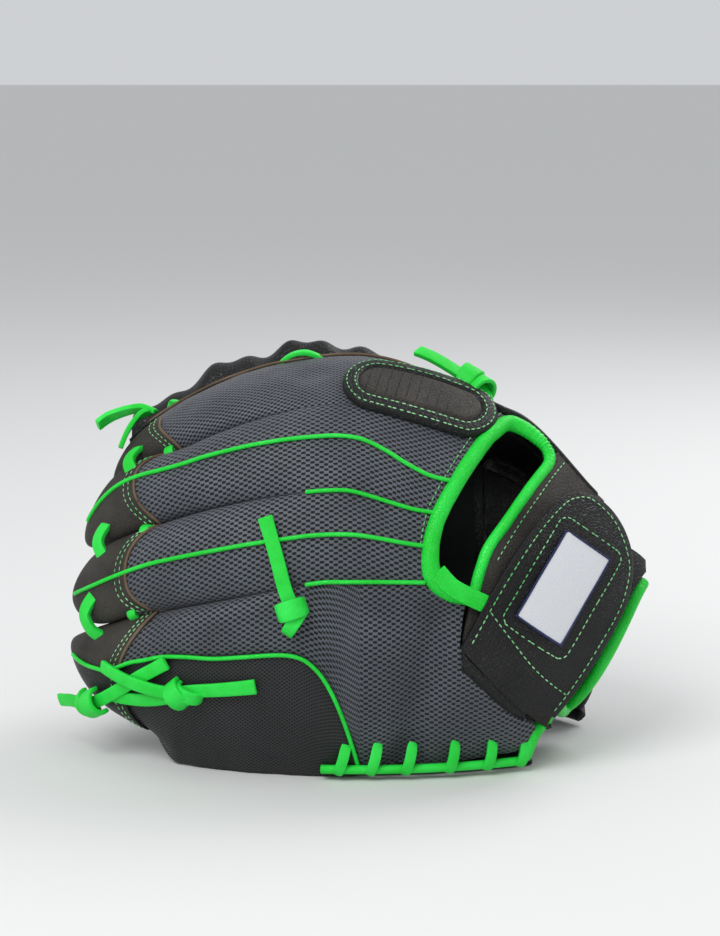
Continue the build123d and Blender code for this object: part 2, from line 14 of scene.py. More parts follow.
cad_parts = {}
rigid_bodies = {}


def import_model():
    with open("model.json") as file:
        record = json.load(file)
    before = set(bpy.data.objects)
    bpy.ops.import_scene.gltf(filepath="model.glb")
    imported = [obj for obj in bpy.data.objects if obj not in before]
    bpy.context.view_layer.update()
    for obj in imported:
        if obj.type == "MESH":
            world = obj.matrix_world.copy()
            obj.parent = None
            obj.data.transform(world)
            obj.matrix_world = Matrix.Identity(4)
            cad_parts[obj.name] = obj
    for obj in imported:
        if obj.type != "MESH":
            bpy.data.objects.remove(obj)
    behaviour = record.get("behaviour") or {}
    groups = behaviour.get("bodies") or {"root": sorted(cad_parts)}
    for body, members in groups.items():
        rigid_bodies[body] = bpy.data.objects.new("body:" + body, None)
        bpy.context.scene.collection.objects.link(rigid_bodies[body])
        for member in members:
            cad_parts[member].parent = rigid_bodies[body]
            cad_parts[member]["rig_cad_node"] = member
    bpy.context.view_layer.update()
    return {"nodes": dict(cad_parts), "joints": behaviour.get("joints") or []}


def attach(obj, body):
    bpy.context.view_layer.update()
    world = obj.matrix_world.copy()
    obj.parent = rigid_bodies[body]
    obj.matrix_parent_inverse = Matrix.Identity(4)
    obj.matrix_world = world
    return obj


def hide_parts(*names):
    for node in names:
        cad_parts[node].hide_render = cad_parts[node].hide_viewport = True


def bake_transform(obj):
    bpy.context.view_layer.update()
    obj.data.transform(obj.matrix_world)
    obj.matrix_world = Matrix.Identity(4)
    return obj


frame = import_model()
HAND, THUMB, STRAP = "hand_side", "thumb_side", "wrist_strap"

# %% [markdown]
# ## The curve everything lies on
# The back of a half closed glove is a dome. A place on it is x along the fingers, an angle up round
# the back of the hand, and a height above the skin. Working in those three numbers makes it easy to
# say where a seam runs, and the same function then serves grids, cords and stitches.

# %% The dome
# millimetres, in the dome's own axes
HALF_LENGTH, FRONT_RADIUS, TOP_RADIUS = 160.0, 105.0, 135.0
AXIS_Y, AXIS_Z = 95.0, 60.0
FOLD_Y, FOLD_Z = 91.0, 165.0  # where the glove folds, between the index finger and the thumb
pocket = next(j for j in frame["joints"] if j["name"] == "pocket_hinge")
SHIFT = Vector(pocket["pos_m"]) * 1000 - Vector((0, FOLD_Y, FOLD_Z))  # from the dome's origin to the frame's


def ease(t):
    """A smooth step from 0 to 1."""
    t = min(max(t, 0.0), 1.0)
    return t * t * (3 - 2 * t)


def shrink(x):
    """The dome's share of its full radius at x."""
    return math.sqrt(max(1 - (x / HALF_LENGTH) ** 2, 0.02))


def index_edge(x):
    """Angle of the index finger's outer edge, where the back ends and the thumb side begins."""
    return 84.5 - 2.5 * ease((-60 - x) / 40) - 20.5 * ease((x + 5) / 80) - 18 * ease((x - 75) / 50)


def dome(x, angle, height=0.0):
    """A place on the dome, in millimetres in the frame."""
    k, edge = shrink(x), index_edge(x)
    front, tall = FRONT_RADIUS * k + height, TOP_RADIUS * k + height
    if angle <= edge:
        a = math.radians(angle)
        return Vector((x, AXIS_Y - front * math.cos(a), AXIS_Z + tall * math.sin(a))) + SHIFT
    far = (72 - 28 * ease(x / 110)) * k + height
    s = math.radians(90 * (angle - edge) / (180 - edge))
    e = math.radians(edge)
    y, rise = AXIS_Y - front * math.cos(e), tall * math.sin(e)
    return Vector((x, y + (AXIS_Y + far - y) * math.sin(s), AXIS_Z + rise * math.cos(s))) + SHIFT


def normal_at(x, angle):
    along = dome(x + 1, angle) - dome(x - 1, angle)
    up = dome(x, angle + 1) - dome(x, angle - 1)
    n = along.cross(up).normalized()
    return n if n.dot(dome(x, angle, 5) - dome(x, angle)) > 0 else -n


def above(x, angle, height=0.0):
    """A place at a true height over the skin."""
    return dome(x, angle) + normal_at(x, angle) * height


def halve(low, high, is_high):
    """The number between low and high at which is_high turns true."""
    for _ in range(30):
        mid = (low + high) / 2
        if is_high(mid):
            high = mid
        else:
            low = mid
    return high


def ground_angle(x, height, z):
    """Angle at which the front of the dome is z above the ground."""
    return halve(-88.0, 60.0, lambda angle: dome(x, angle, height).z > z)


def thickness(x):
    """Depth of a padded finger, from its back to the palm's leather."""
    return 27 + 13 * ease((x + 100) / 120) - 20 * ease((x - 95) / 45)


print("dome top", [round(v) for v in dome(0, 84)])

# %% [markdown]
# ## Where the seams run
# Four fingers lie side by side over the back. The seam between two of them is a line on the dome:
# an angle for each x. Wide apart at the hand, they close up towards the tips.

# %% Seam lines


def seam_one(x):
    """Little finger to ring finger."""
    return 16 + 0.078 * min(x + 20, 0) - 6 * ease((-100 - x) / 45)


def seam_two(x):
    """Ring finger to middle finger."""
    return 35.5 - 4.5 * ease((x + 10) / 45)


def seam_three(x):
    """Middle finger to index finger."""
    return 59 - 8 * ease(x / 55) + 8 * ease((-85 - x) / 40)


def side_seam(x):
    """The piped seam that runs along the little finger and turns down to the ground."""
    down = 26 * min(max((x + 38) / 38, 0), 1) ** 2.8
    return 1.0 - down - 1.9 * ease((-35 - x) / 45) - 7 * ease((-85 - x) / 50)


def valley(x):
    """How deep the dip between two fingers is."""
    return 1.2 + 10.8 * (1 - ease((x + 105) / 95))


# each finger's low seam, high seam and the x of its tip
FINGERS = {
    "little_finger": (side_seam, seam_one, -145.0),
    "ring_finger": (seam_one, seam_two, -143.5),
    "middle_finger": (seam_two, seam_three, -137.5),
    "index_finger": (seam_three, index_edge, -124.0),
}
print("seams", {n: round(f[1](-60), 1) for n, f in FINGERS.items()})

# %% [markdown]
# ## Helpers that turn a plan into a mesh
# Panels start as Blender's grid, which already has tidy quads and a UV map, and each of its points
# is then carried to its place on the dome. The UV map is written in metres along the surface, so a
# weave drawn on it has its true size everywhere, even where a panel narrows to a fingertip.

# %% Mesh helpers
SMOOTH_ANGLE = math.radians(50)  # edges sharper than this stay sharp


def fresh(name):
    """Names the object that an operator has just added."""
    obj = bpy.context.active_object
    obj.name = name
    obj.data.name = name
    return obj


def only(obj):
    """Makes one object the selection."""
    bpy.ops.object.select_all(action="DESELECT")
    bpy.context.view_layer.objects.active = obj
    obj.select_set(True)


def modify(obj, kind, **settings):
    """Adds a modifier and applies it."""
    only(obj)
    m = obj.modifiers.new(kind.title(), kind)
    for key, value in settings.items():
        setattr(m, key, value)
    bpy.ops.object.modifier_apply(modifier=m.name)


def smooth(obj, material):
    """Soft shading and one material."""
    only(obj)
    bpy.ops.object.shade_smooth_by_angle(angle=SMOOTH_ANGLE)
    obj.data.materials.clear()
    obj.data.materials.append(material)


def claim(nodes):
    """Hides the frame nodes that a piece stands for."""
    if nodes:
        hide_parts(*nodes)


def seat(obj, body, material, *nodes, slot=None, fill=None):
    """Finishes a piece that rides on one body; fill is not used."""
    smooth(obj, material)
    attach(obj, body)
    claim(nodes)
    return obj


def bend(obj, start, end, to, material, *nodes):
    """Finishes a piece where it lies, with its transform baked into its mesh."""
    smooth(obj, material)
    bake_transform(obj)
    claim(nodes)


def refinish(material, *names):
    """Gives a finish to frame pieces that stay in view as they are."""
    for name in names:
        frame["nodes"][name].data.materials.clear()
        frame["nodes"][name].data.materials.append(material)


def panel(name, across, along, place, thick=0.0, bevel=0.0):
    """A sheet of across by along quads; place(u, v) is each point in millimetres, u and v from 0 to 1."""
    bpy.ops.mesh.primitive_grid_add(x_subdivisions=along, y_subdivisions=across, size=2, calc_uvs=True)
    obj = fresh(name)
    mesh = obj.data
    grid = {}
    for v in mesh.vertices:
        i = round((v.co.x + 1) / 2 * along)
        j = round((v.co.y + 1) / 2 * across)
        grid[(i, j)] = v.index
        v.co = place(i / along, j / across) / 1000

    def lengths(row):
        """Running length along a row of vertices."""
        run = [0.0]
        for a, b in zip(row, row[1:]):
            run.append(run[-1] + (mesh.vertices[b].co - mesh.vertices[a].co).length)
        return run
    mid = lengths([grid[(i, across // 2)] for i in range(along + 1)])
    uv_at = {}
    for i in range(along + 1):
        column = [grid[(i, j)] for j in range(across + 1)]
        widths = lengths(column)
        for vertex, width in zip(column, widths):
            uv_at[vertex] = (mid[i], width - widths[-1] / 2)
    uv = mesh.uv_layers.active.data
    for loop in mesh.loops:
        uv[loop.index].uv = uv_at[loop.vertex_index]
    axis = (Vector((0, AXIS_Y, AXIS_Z)) + SHIFT) / 1000
    outward = sum((f.center - Vector((f.center.x, *axis.yz))).dot(f.normal) for f in mesh.polygons)
    if outward < 0:
        only(obj)
        bpy.ops.object.mode_set(mode="EDIT")
        bpy.ops.mesh.select_all(action="SELECT")
        bpy.ops.mesh.flip_normals()
        bpy.ops.object.mode_set(mode="OBJECT")
    if thick:
        inward = -1 if thick > 0 else 1
        modify(obj, "SOLIDIFY", thickness=abs(thick) / 1000, offset=inward, use_even_offset=False)
    if bevel:
        modify(obj, "BEVEL", width=bevel / 1000, segments=2, limit_method="ANGLE", angle_limit=SMOOTH_ANGLE)
    return obj


print("helpers ready")

# %% [markdown]
# ## Paths, cords and laces
# A lace is a flat strip that keeps its face to the glove, so it is a narrow panel along a smooth
# path of spots. A cord or a piping is the same panel rolled round until its edges meet.

# %% Paths


def smooth_path(spots):
    """A smooth run through the spots, each a tuple of numbers, for t from 0 to 1."""
    last = len(spots) - 1

    def at(t):
        t = min(max(t, 0.0), 1.0) * last
        i = min(int(t), last - 1)
        f = t - i
        four = (spots[max(i - 1, 0)], spots[i], spots[i + 1], spots[min(i + 2, last)])
        bent = []
        for a, b, c, d in zip(*four):
            square, cube = 2 * a - 5 * b + 4 * c - d, 3 * b - a - 3 * c + d
            bent.append(0.5 * (2 * b + (c - a) * f + square * f ** 2 + cube * f ** 3))
        return bent
    return at


def weld(obj, gap=0.05):
    """Joins the edges that meet, and turns all faces outwards."""
    only(obj)
    bpy.ops.object.mode_set(mode="EDIT")
    bpy.ops.mesh.select_all(action="SELECT")
    bpy.ops.mesh.remove_doubles(threshold=gap / 1000)
    bpy.ops.mesh.normals_make_consistent(inside=False)
    bpy.ops.mesh.select_all(action="DESELECT")
    bpy.ops.object.mode_set(mode="OBJECT")
    return obj


def frame_on(at, t, spot=above):
    """Centre, direction, side and normal of a path on the dome."""
    here = at(t)
    centre = spot(*here[:3])
    way = (spot(*at(t + 0.004)[:3]) - spot(*at(t - 0.004)[:3])).normalized()
    n = normal_at(here[0], here[1])
    side = way.cross(n).normalized()
    return centre, way, side, side.cross(way).normalized(), here


def lace(name, spots, width=7.0, thick=2.4, along=None, lean=0.0):
    """A flat lace along (x, angle, height, width there) spots; lean tips its face, in degrees."""
    full = [tuple(s) if len(s) > 3 else tuple(s) + (width,) for s in spots]
    at = smooth_path(full)

    def place(u, v):
        centre, _, side, n, here = frame_on(at, u)
        k, c, s = 2 * v - 1, math.cos(math.radians(lean)), math.sin(math.radians(lean))
        flat, face = side * c - n * s, n * c + side * s
        return centre + flat * (k * here[3] / 2) + face * (0.3 * (1 - k * k))
    return panel(name, 4, along or 8 * len(spots), place, thick=thick, bevel=0.5)


def wrap(name, spot, turn, width=8.0, span=5.2, rise=5.0, thick=2.2):
    """The turn of a knot: a strip over a lace at a spot, across the lace's direction (x, angle step)."""
    x, angle, height = spot
    centre, n = above(x, angle, height), normal_at(x, angle)
    way = (above(x + turn[0], angle + turn[1], height) - centre).normalized()
    side = way.cross(n).normalized()

    def place(u, v):
        s = math.radians(-112 + 224 * u)
        narrow = width * (0.5 - 0.12 * abs(2 * u - 1) ** 2)
        over = side * (span * math.sin(s)) + n * (rise * math.cos(s) + 0.3)
        return centre + over + way * ((2 * v - 1) * narrow)
    return panel(name, 4, 20, place, thick=-thick, bevel=0.5)


def tube(name, at, radius, along, around=12, spot=dome, bumps=None):
    """A round cord along a path; radius is a number or a function of t, bumps adds to it at (t, turn)."""
    size = radius if callable(radius) else lambda t: radius

    def place(u, v):
        centre, _, side, n, _ = frame_on(at, u, spot)
        end = min(u, 1 - u) * along / 2
        r = size(u) * math.sqrt(max(1 - (1 - min(end, 1)) ** 2, 0.0001))
        if bumps:
            r += bumps(u, v)
        a = 2 * math.pi * v
        return centre + (side * math.cos(a) + n * math.sin(a)) * r
    return weld(panel(name, around, along, place))


print("paths ready")

# %% [markdown]
# ## Stitches
# Thread shows as short grains along a seam. One grain is modelled, copied along a path at a steady
# pitch, and the copies are joined into one piece.

# %% Stitches


def sew(name, at, pitch, size, spot=above):
    """Small thread grains along a path on the dome; size is half the length, width and height of one."""
    steps = 400
    places = [spot(*at(i / steps)[:3]) for i in range(steps + 1)]
    run = [0.0]
    for a, b in zip(places, places[1:]):
        run.append(run[-1] + (b - a).length)
    bpy.ops.mesh.primitive_ico_sphere_add(subdivisions=1, radius=0.001)
    grain = fresh(name)
    parts = []
    count = max(int(run[-1] / pitch), 1)
    for k in range(count):
        want = (k + 0.5) * run[-1] / count
        i = next(j for j in range(1, steps + 1) if run[j] >= want)
        centre, way, side, n, _ = frame_on(at, i / steps, spot)
        copy = grain.copy()
        copy.data = grain.data.copy()
        bpy.context.collection.objects.link(copy)
        for v in copy.data.vertices:
            c = v.co * 1000
            v.co = (centre + way * (c.x * size[0]) + side * (c.y * size[1]) + n * (c.z * size[2])) / 1000
        parts.append(copy)
    bpy.data.objects.remove(grain)
    bpy.ops.object.select_all(action="DESELECT")
    for p in parts:
        p.select_set(True)
    bpy.context.view_layer.objects.active = parts[0]
    bpy.ops.object.join()
    return fresh(name)


def row(name, at, pitch, size, spot=above, body=HAND):
    """A sewn row, seated on a body."""
    return seat(sew(name, at, pitch, size, spot), body, THREAD)


print("stitches ready")

# %% [markdown]
# ## Materials
# Two effects do most of the work, each in a node group of its own: the open weave of the mesh, and
# the grain of leather, which at other scales also serves laces, thread, lining and felt. They read
# the UV map or object coordinates, both in metres, so their scale is the real one.

# %% Node helpers


def group(name, inputs, outputs):
    """A node group with named sockets. inputs holds (name, default), outputs (name, kind)."""
    tree = bpy.data.node_groups.new(name, "ShaderNodeTree")
    for label, default in inputs:
        kind = "NodeSocketVector" if label == "Vector" else "NodeSocketFloat"
        socket = tree.interface.new_socket(name=label, in_out="INPUT", socket_type=kind)
        if kind == "NodeSocketFloat":
            socket.default_value = default
    for label, kind in outputs:
        tree.interface.new_socket(name=label, in_out="OUTPUT", socket_type="NodeSocket" + kind)
    return tree, tree.nodes.new("NodeGroupInput"), tree.nodes.new("NodeGroupOutput")


def node(tree, kind, values=None, links=None, **settings):
    """Adds one node, sets its constants and links its inputs."""
    n = tree.nodes.new("ShaderNode" + kind)
    for key, value in settings.items():
        setattr(n, key, value)
    for key, value in (values or {}).items():
        n.inputs[key].default_value = value
    for key, source in (links or {}).items():
        tree.links.new(source, n.inputs[key])
    return n


def math_node(tree, operation, a, b=None, c=None, clamp=False):
    n = tree.nodes.new("ShaderNodeMath")
    n.operation, n.use_clamp = operation, clamp
    for i, value in enumerate((a, b, c)):
        if value is None:
            continue
        if isinstance(value, (int, float)):
            n.inputs[i].default_value = value
        else:
            tree.links.new(value, n.inputs[i])
    return n.outputs[0]


print("node helpers ready")

# %% [markdown]
# ### The open mesh
# The mesh is a knit with staggered holes. Two cosines multiplied give just that lattice: a hole
# wherever both peak together. The group gives a mask of thread against hole, and its height.

# %% Weave group
weave, g_in, g_out = group(
    "open_weave",
    [("Vector", None), ("Along", 0.004), ("Across", 0.0024), ("Openness", 0.1), ("Depth", 0.0005)],
    [("Thread", "Float"), ("Fibre", "Float"), ("Normal", "Vector")])
spread = node(weave, "TexNoise", {"Scale": 260.0, "Detail": 2.0}, {"Vector": g_in.outputs["Vector"]})
parts = node(weave, "SeparateXYZ", links={"Vector": g_in.outputs["Vector"]})
waves = []
for axis, pitch in (("X", "Along"), ("Y", "Across")):
    turns = math_node(weave, "DIVIDE", parts.outputs[axis], g_in.outputs[pitch])
    loose = math_node(weave, "MULTIPLY_ADD", spread.outputs["Fac"], 0.22, turns)
    waves.append(math_node(weave, "COSINE", math_node(weave, "MULTIPLY", loose, 2 * math.pi)))
lattice = math_node(weave, "MULTIPLY", waves[0], waves[1])
hole = node(weave, "MapRange", {"To Min": 1.0, "To Max": 0.0}, {"Value": lattice},
            interpolation_type="SMOOTHSTEP")
weave.links.new(g_in.outputs["Openness"], hole.inputs["From Min"])
weave.links.new(math_node(weave, "ADD", g_in.outputs["Openness"], 0.22), hole.inputs["From Max"])
fibre = node(weave, "TexNoise", {"Scale": 3000.0, "Detail": 2.0}, {"Vector": g_in.outputs["Vector"]})
height = math_node(weave, "MULTIPLY_ADD", fibre.outputs["Fac"], 0.25, hole.outputs["Result"])
bump = node(weave, "Bump", {"Strength": 0.9}, {"Height": height})
weave.links.new(g_in.outputs["Depth"], bump.inputs["Distance"])
weave.links.new(hole.outputs["Result"], g_out.inputs["Thread"])
weave.links.new(fibre.outputs["Fac"], g_out.inputs["Fibre"])
weave.links.new(bump.outputs["Normal"], g_out.inputs["Normal"])
print("weave group", len(weave.nodes), "nodes")

# %% [markdown]
# ### Leather
# Leather's face is a net of fine creases with pores, and broad soft patches where it has been
# handled. Voronoi cells give the creases, a small noise the pores, and a wide noise the patches.

# %% Leather group
hide, g_in, g_out = group(
    "leather_grain", [("Vector", None), ("Scale", 700.0), ("Depth", 0.0003), ("Pores", 0.5)],
    [("Patches", "Float"), ("Pits", "Float"), ("Normal", "Vector")])
cells = node(hide, "TexVoronoi", links={"Vector": g_in.outputs["Vector"], "Scale": g_in.outputs["Scale"]},
             feature="DISTANCE_TO_EDGE")
creases = node(hide, "MapRange", {"From Min": 0.0, "From Max": 0.12}, {"Value": cells.outputs["Distance"]})
fine = node(hide, "TexNoise", {"Scale": 1500.0, "Detail": 3.0}, {"Vector": g_in.outputs["Vector"]})
pits = node(hide, "MapRange", {"From Min": 0.62, "From Max": 0.7}, {"Value": fine.outputs["Fac"]})
pitted = math_node(hide, "MULTIPLY", pits.outputs["Result"], g_in.outputs["Pores"])
broad = node(hide, "TexNoise", {"Scale": 38.0, "Detail": 4.0, "Roughness": 0.6},
             {"Vector": g_in.outputs["Vector"]})
swell = math_node(hide, "MULTIPLY_ADD", broad.outputs["Fac"], 1.5, creases.outputs["Result"])
relief = math_node(hide, "SUBTRACT", swell, pitted)
bump = node(hide, "Bump", {"Strength": 0.8}, {"Height": relief})
hide.links.new(g_in.outputs["Depth"], bump.inputs["Distance"])
hide.links.new(broad.outputs["Fac"], g_out.inputs["Patches"])
hide.links.new(pitted, g_out.inputs["Pits"])
hide.links.new(bump.outputs["Normal"], g_out.inputs["Normal"])
print("leather group", len(hide.nodes), "nodes")

# %% [markdown]
# ### The materials themselves
# Each one takes a group, mixes two close colours by what the group gives, and sets the sheen and
# roughness that tell mesh from leather and leather from lace.

# %% Material makers


def blank(name):
    """A new material, with its tree, its surface shader and its coordinates."""
    material = bpy.data.materials.new(name)
    material.use_nodes = True
    tree = material.node_tree
    return material, tree, tree.nodes["Principled BSDF"], tree.nodes.new("ShaderNodeTexCoord")


def colours(tree, factor, low, high):
    """A mix of two colours by a value; either colour may be the output of a node."""
    mix = node(tree, "Mix", data_type="RGBA")
    tree.links.new(factor, mix.inputs["Factor"])
    for side, colour in (("A", low), ("B", high)):
        if isinstance(colour, tuple):
            mix.inputs[side].default_value = (*colour, 1)
        else:
            tree.links.new(colour, mix.inputs[side])
    return mix.outputs["Result"]


def use_group(tree, which, vector, **values):
    """Places a node group in a material, with its own values."""
    g = tree.nodes.new("ShaderNodeGroup")
    g.node_tree = which
    tree.links.new(vector, g.inputs["Vector"])
    for key, value in values.items():
        g.inputs[key].default_value = value
    return g


def woven(name, thread, bright, hole_colour, along, across, openness=0.1, sheen=0.15):
    """An open mesh on the UV map."""
    material, tree, surface, coords = blank(name)
    g = use_group(tree, weave, coords.outputs["UV"], Along=along, Across=across, Openness=openness)
    patches = node(tree, "TexNoise", {"Scale": 45.0, "Detail": 3.0}, {"Vector": coords.outputs["Object"]})
    strand = math_node(tree, "MULTIPLY_ADD", g.outputs["Fibre"], 0.8, math_node(
        tree, "MULTIPLY_ADD", patches.outputs["Fac"], 0.9, -0.45), clamp=True)
    cloth = colours(tree, g.outputs["Thread"], hole_colour, colours(tree, strand, thread, bright))
    tree.links.new(cloth, surface.inputs["Base Color"])
    rough = node(tree, "MapRange", {"To Min": 0.95, "To Max": 0.5}, {"Value": g.outputs["Thread"]})
    tree.links.new(rough.outputs["Result"], surface.inputs["Roughness"])
    tree.links.new(g.outputs["Normal"], surface.inputs["Normal"])
    surface.inputs["Sheen Weight"].default_value = sheen
    return material


def leather(name, dark, light, rough=0.5, scale=700.0, depth=0.0003, pores=0.5, pit_colour=None):
    """Grained leather; the pores are darker."""
    material, tree, surface, coords = blank(name)
    g = use_group(tree, hide, coords.outputs["Object"], Scale=scale, Depth=depth, Pores=pores)
    spread = node(tree, "MapRange", {"From Min": 0.35, "From Max": 0.7}, {"Value": g.outputs["Patches"]})
    base = colours(tree, spread.outputs["Result"], dark, light)
    pit_colour = pit_colour or tuple(c * 0.35 for c in dark)
    tree.links.new(colours(tree, g.outputs["Pits"], base, pit_colour), surface.inputs["Base Color"])
    shine = node(tree, "MapRange",
                 {"From Min": 0.3, "From Max": 0.7, "To Min": rough + 0.1, "To Max": rough - 0.08},
                 {"Value": g.outputs["Patches"]})
    tree.links.new(shine.outputs["Result"], surface.inputs["Roughness"])
    tree.links.new(g.outputs["Normal"], surface.inputs["Normal"])
    surface.inputs["Specular IOR Level"].default_value = 0.32
    return material


GREY_YARN = ((0.034, 0.040, 0.054), (0.125, 0.138, 0.168), (0.003, 0.0035, 0.0045))
BLACK_YARN = ((0.006, 0.006, 0.007), (0.024, 0.024, 0.028), (0.002, 0.002, 0.002))
BLACK_MESH = woven("black_mesh", *BLACK_YARN, 0.0024, 0.0018, sheen=0.03)
GREY_MESH = woven("grey_mesh", *GREY_YARN, 0.0044, 0.0027, -0.03)
FINE_MESH = woven("fine_grey_mesh", *GREY_YARN, 0.0034, 0.0022, -0.03)
CHARCOAL = leather("charcoal_leather", (0.022, 0.019, 0.016), (0.045, 0.039, 0.033), 0.62, 520, 0.00025, 0.9)
BLACK = leather("black_leather", (0.0040, 0.0040, 0.0043), (0.0085, 0.0085, 0.009), 0.40, 620, 0.0003, 0.3)
PALM = leather("palm_leather", (0.009, 0.009, 0.0095), (0.020, 0.019, 0.018), 0.5, 420, 0.0004, 0.4)
LINING = leather("lining_cloth", (0.004, 0.004, 0.0045), (0.008, 0.008, 0.009), 0.85, 1300, 0.0002, 0.2)
TAN = leather("cut_edge", (0.10, 0.066, 0.040), (0.19, 0.135, 0.088), 0.8, 1500, 0.0001, 0.4)
DEEP_GREEN = (0.01, 0.42, 0.03)
GREEN = leather("green_lace", (0.006, 0.60, 0.030), (0.028, 0.80, 0.085), 0.46, 900, 0.00012, 0.12, DEEP_GREEN)
BINDING = leather("green_binding", (0.006, 0.58, 0.028), (0.02, 0.76, 0.07), 0.36, 500, 0.0002, 0.1, DEEP_GREEN)
THREAD = leather("green_thread", (0.10, 0.48, 0.14), (0.42, 0.80, 0.42), 0.6, 3000, 0.00005, 0.1)
PILE = leather("hook_and_loop", (0.006, 0.006, 0.007), (0.02, 0.02, 0.022), 0.9, 2400, 0.0006, 0.2)
FELT = leather("felt_padding", (0.05, 0.05, 0.05), (0.11, 0.11, 0.105), 0.95, 1800, 0.0003, 0.3)
print("materials", len(bpy.data.materials))

# %% [markdown]
# ### The woven label
# The label is a satin patch: fine white rows of weft with a faint rib, inside a dark blue edge.

# %% Label material
LABEL, tree, surface, coords = blank("white_label")
ribs = node(tree, "TexWave", {"Scale": 420.0, "Distortion": 0.6, "Detail": 1.0},
            {"Vector": coords.outputs["Object"]}, bands_direction="DIAGONAL")
satin = colours(tree, ribs.outputs["Fac"], (0.60, 0.61, 0.64), (0.78, 0.79, 0.82))
tree.links.new(satin, surface.inputs["Base Color"])
bump = node(tree, "Bump", {"Strength": 0.5, "Distance": 0.0002}, {"Height": ribs.outputs["Fac"]})
tree.links.new(bump.outputs["Normal"], surface.inputs["Normal"])
surface.inputs["Roughness"].default_value = 0.55
NAVY = leather("navy_thread", (0.012, 0.018, 0.075), (0.03, 0.04, 0.13), 0.6, 3000, 0.0001, 0.1)
print("label ready")

# %% [markdown]
# ## The four fingers and the back of the hand
# On the real glove the back is one padded mesh panel for each finger, running from the leather tip
# to the hand. Each panel puffs up in the middle and is drawn down into a valley where it is sewn to
# its neighbour. Rows of a grid take that profile; towards the hand the valleys fade out.

# %% Finger profile
LITTLE_TIP_LOW = -29.0  # angle down to which the little finger's tip wraps its side
BACK_START = {"little_finger": -121.0, "ring_finger": -117.0, "middle_finger": -113.5, "index_finger": -103.0}
HAND_END = {"little_finger": 84.0, "ring_finger": 70.0, "middle_finger": 104.0, "index_finger": 104.0}
# soft folds in the mesh: height, then x and angle at both ends, and how wide the fold is
FOLDS = ((-4.8, (36, 8, 21, -23, 8)), (3.6, (49, 1, 76, -22, 9)), (2.0, (12, 4, -2, -12, 10)),
         (-1.6, (-22, 13, -8, 6, 5)), (-1.4, (-24, 8, -12, 0, 4)), (-1.5, (2, 34, 30, 26, 6)),
         (-1.2, (-60, 70, -20, 71, 7)), (1.0, (5, 12, 30, 16, 8)))


def slack(x, angle):
    """Soft folds where the hand bends, as a height in millimetres."""
    def ridge(x0, a0, x1, a1, wide):
        dx, da = x1 - x0, (a1 - a0) * 2.2
        px, pa = x - x0, (angle - a0) * 2.2
        t = min(max((px * dx + pa * da) / (dx * dx + da * da), 0.0), 1.0)
        off = math.hypot(px - t * dx, pa - t * da)
        return math.exp(-(off / wide) ** 2)
    return sum(height * ridge(*course) for height, course in FOLDS)


def ripple(x, angle):
    """Small unevenness of sewn cloth."""
    broad_wave, short_wave = Vector((x / 19, angle / 9, 3.1)), Vector((x / 7, angle / 4, 8.4))
    return 0.55 * noise.noise(broad_wave) + 0.3 * noise.noise(short_wave)


def tip_wrap(x, angle):
    """Height of the little finger's round end, which wraps from its high seam down its side."""
    low, high, deep = LITTLE_TIP_LOW, seam_one(x), thickness(x) / 2
    s = (angle - (low + high) / 2) / ((high - low) / 2)
    return -deep + deep * math.sqrt(max(1 - min(abs(s), 1.0) ** 2.6, 0.0))


def plain_height(finger, x, s):
    """Height of a padded back between its two valleys."""
    deep = valley(x)
    low_dip = 2.5 if finger == "little_finger" else deep
    high_dip = 2.0 if finger == "index_finger" else deep
    return -(high_dip if s > 0 else low_dip) * (1 - math.sqrt(max(1 - abs(s) ** 2.6, 0.0)))


def crest(finger, x, s, lift=0.0):
    """(x, angle, height) on a finger's back; s runs from -1 at its low seam to 1 at its high seam."""
    low, high, _ = FINGERS[finger]
    angle = (low(x) + high(x)) / 2 + s * (high(x) - low(x)) / 2
    height = plain_height(finger, x, s)
    if finger == "little_finger" and x < -84:
        share = ease((-84 - x) / 20)
        height = tip_wrap(x, angle) * share + height * (1 - share)
    return x, angle, height + slack(x, angle) * ease((x + 40) / 25) + ripple(x, angle) + lift


backs = {}
for finger in FINGERS:
    def place(u, v, finger=finger):
        x = BACK_START[finger] + (HAND_END[finger] - BACK_START[finger]) * u
        return above(*crest(finger, x, math.sin(math.radians(90 * (2 * v - 1)))))
    backs[finger] = panel(finger + "_back", 28, 150, place, thick=3.0)
print("finger backs", [len(o.data.polygons) for o in backs.values()])

# %% [markdown]
# ## The opening over the back of the hand
# The opening and the wrist band are cut out of the sewn back in one go. A prism follows their
# outline, stands through the panels along the dome's normals, and Boolean takes it away.

# %% Cut the opening
# (x, angle) round the opening's rim, its left side for the cut, and the strip that the cut takes away
OPENING = [(53.5, 13.4), (60, 23.2), (70, 31), (81, 40.5), (92, 52), (88, 58.5), (74, 61), (64, 55), (55, 47),
           (44, 37),
           (36.5, 29.5), (33, 22), (35, 16.6), (43, 13.8), (53, 13)]
LEFT_ARM = [(88, 59), (74, 61.5), (64, 55), (55, 47), (44, 37), (36.5, 29.5), (33, 22), (35, 16.6), (43, 13.4),
            (50, 12.4)]
TO_WRIST = [(47, 3), (68, -9), (91, -21), (135, -24), (135, 62), (100, 61)]


def prism(name, outline, low, high):
    """A closed block over an outline of (x, angle), from one height to another."""
    bpy.ops.mesh.primitive_cylinder_add(vertices=len(outline), radius=1, depth=2, end_fill_type="NGON")
    obj = fresh(name)
    count = len(outline)
    ring = sorted(obj.data.vertices, key=lambda v: (v.co.z > 0, math.atan2(v.co.y, v.co.x) % (2 * math.pi)))
    for k, v in enumerate(ring):
        x, angle = outline[k % count]
        v.co = (dome(x, angle, high if k >= count else low)) / 1000
    return weld(obj, 0.0)


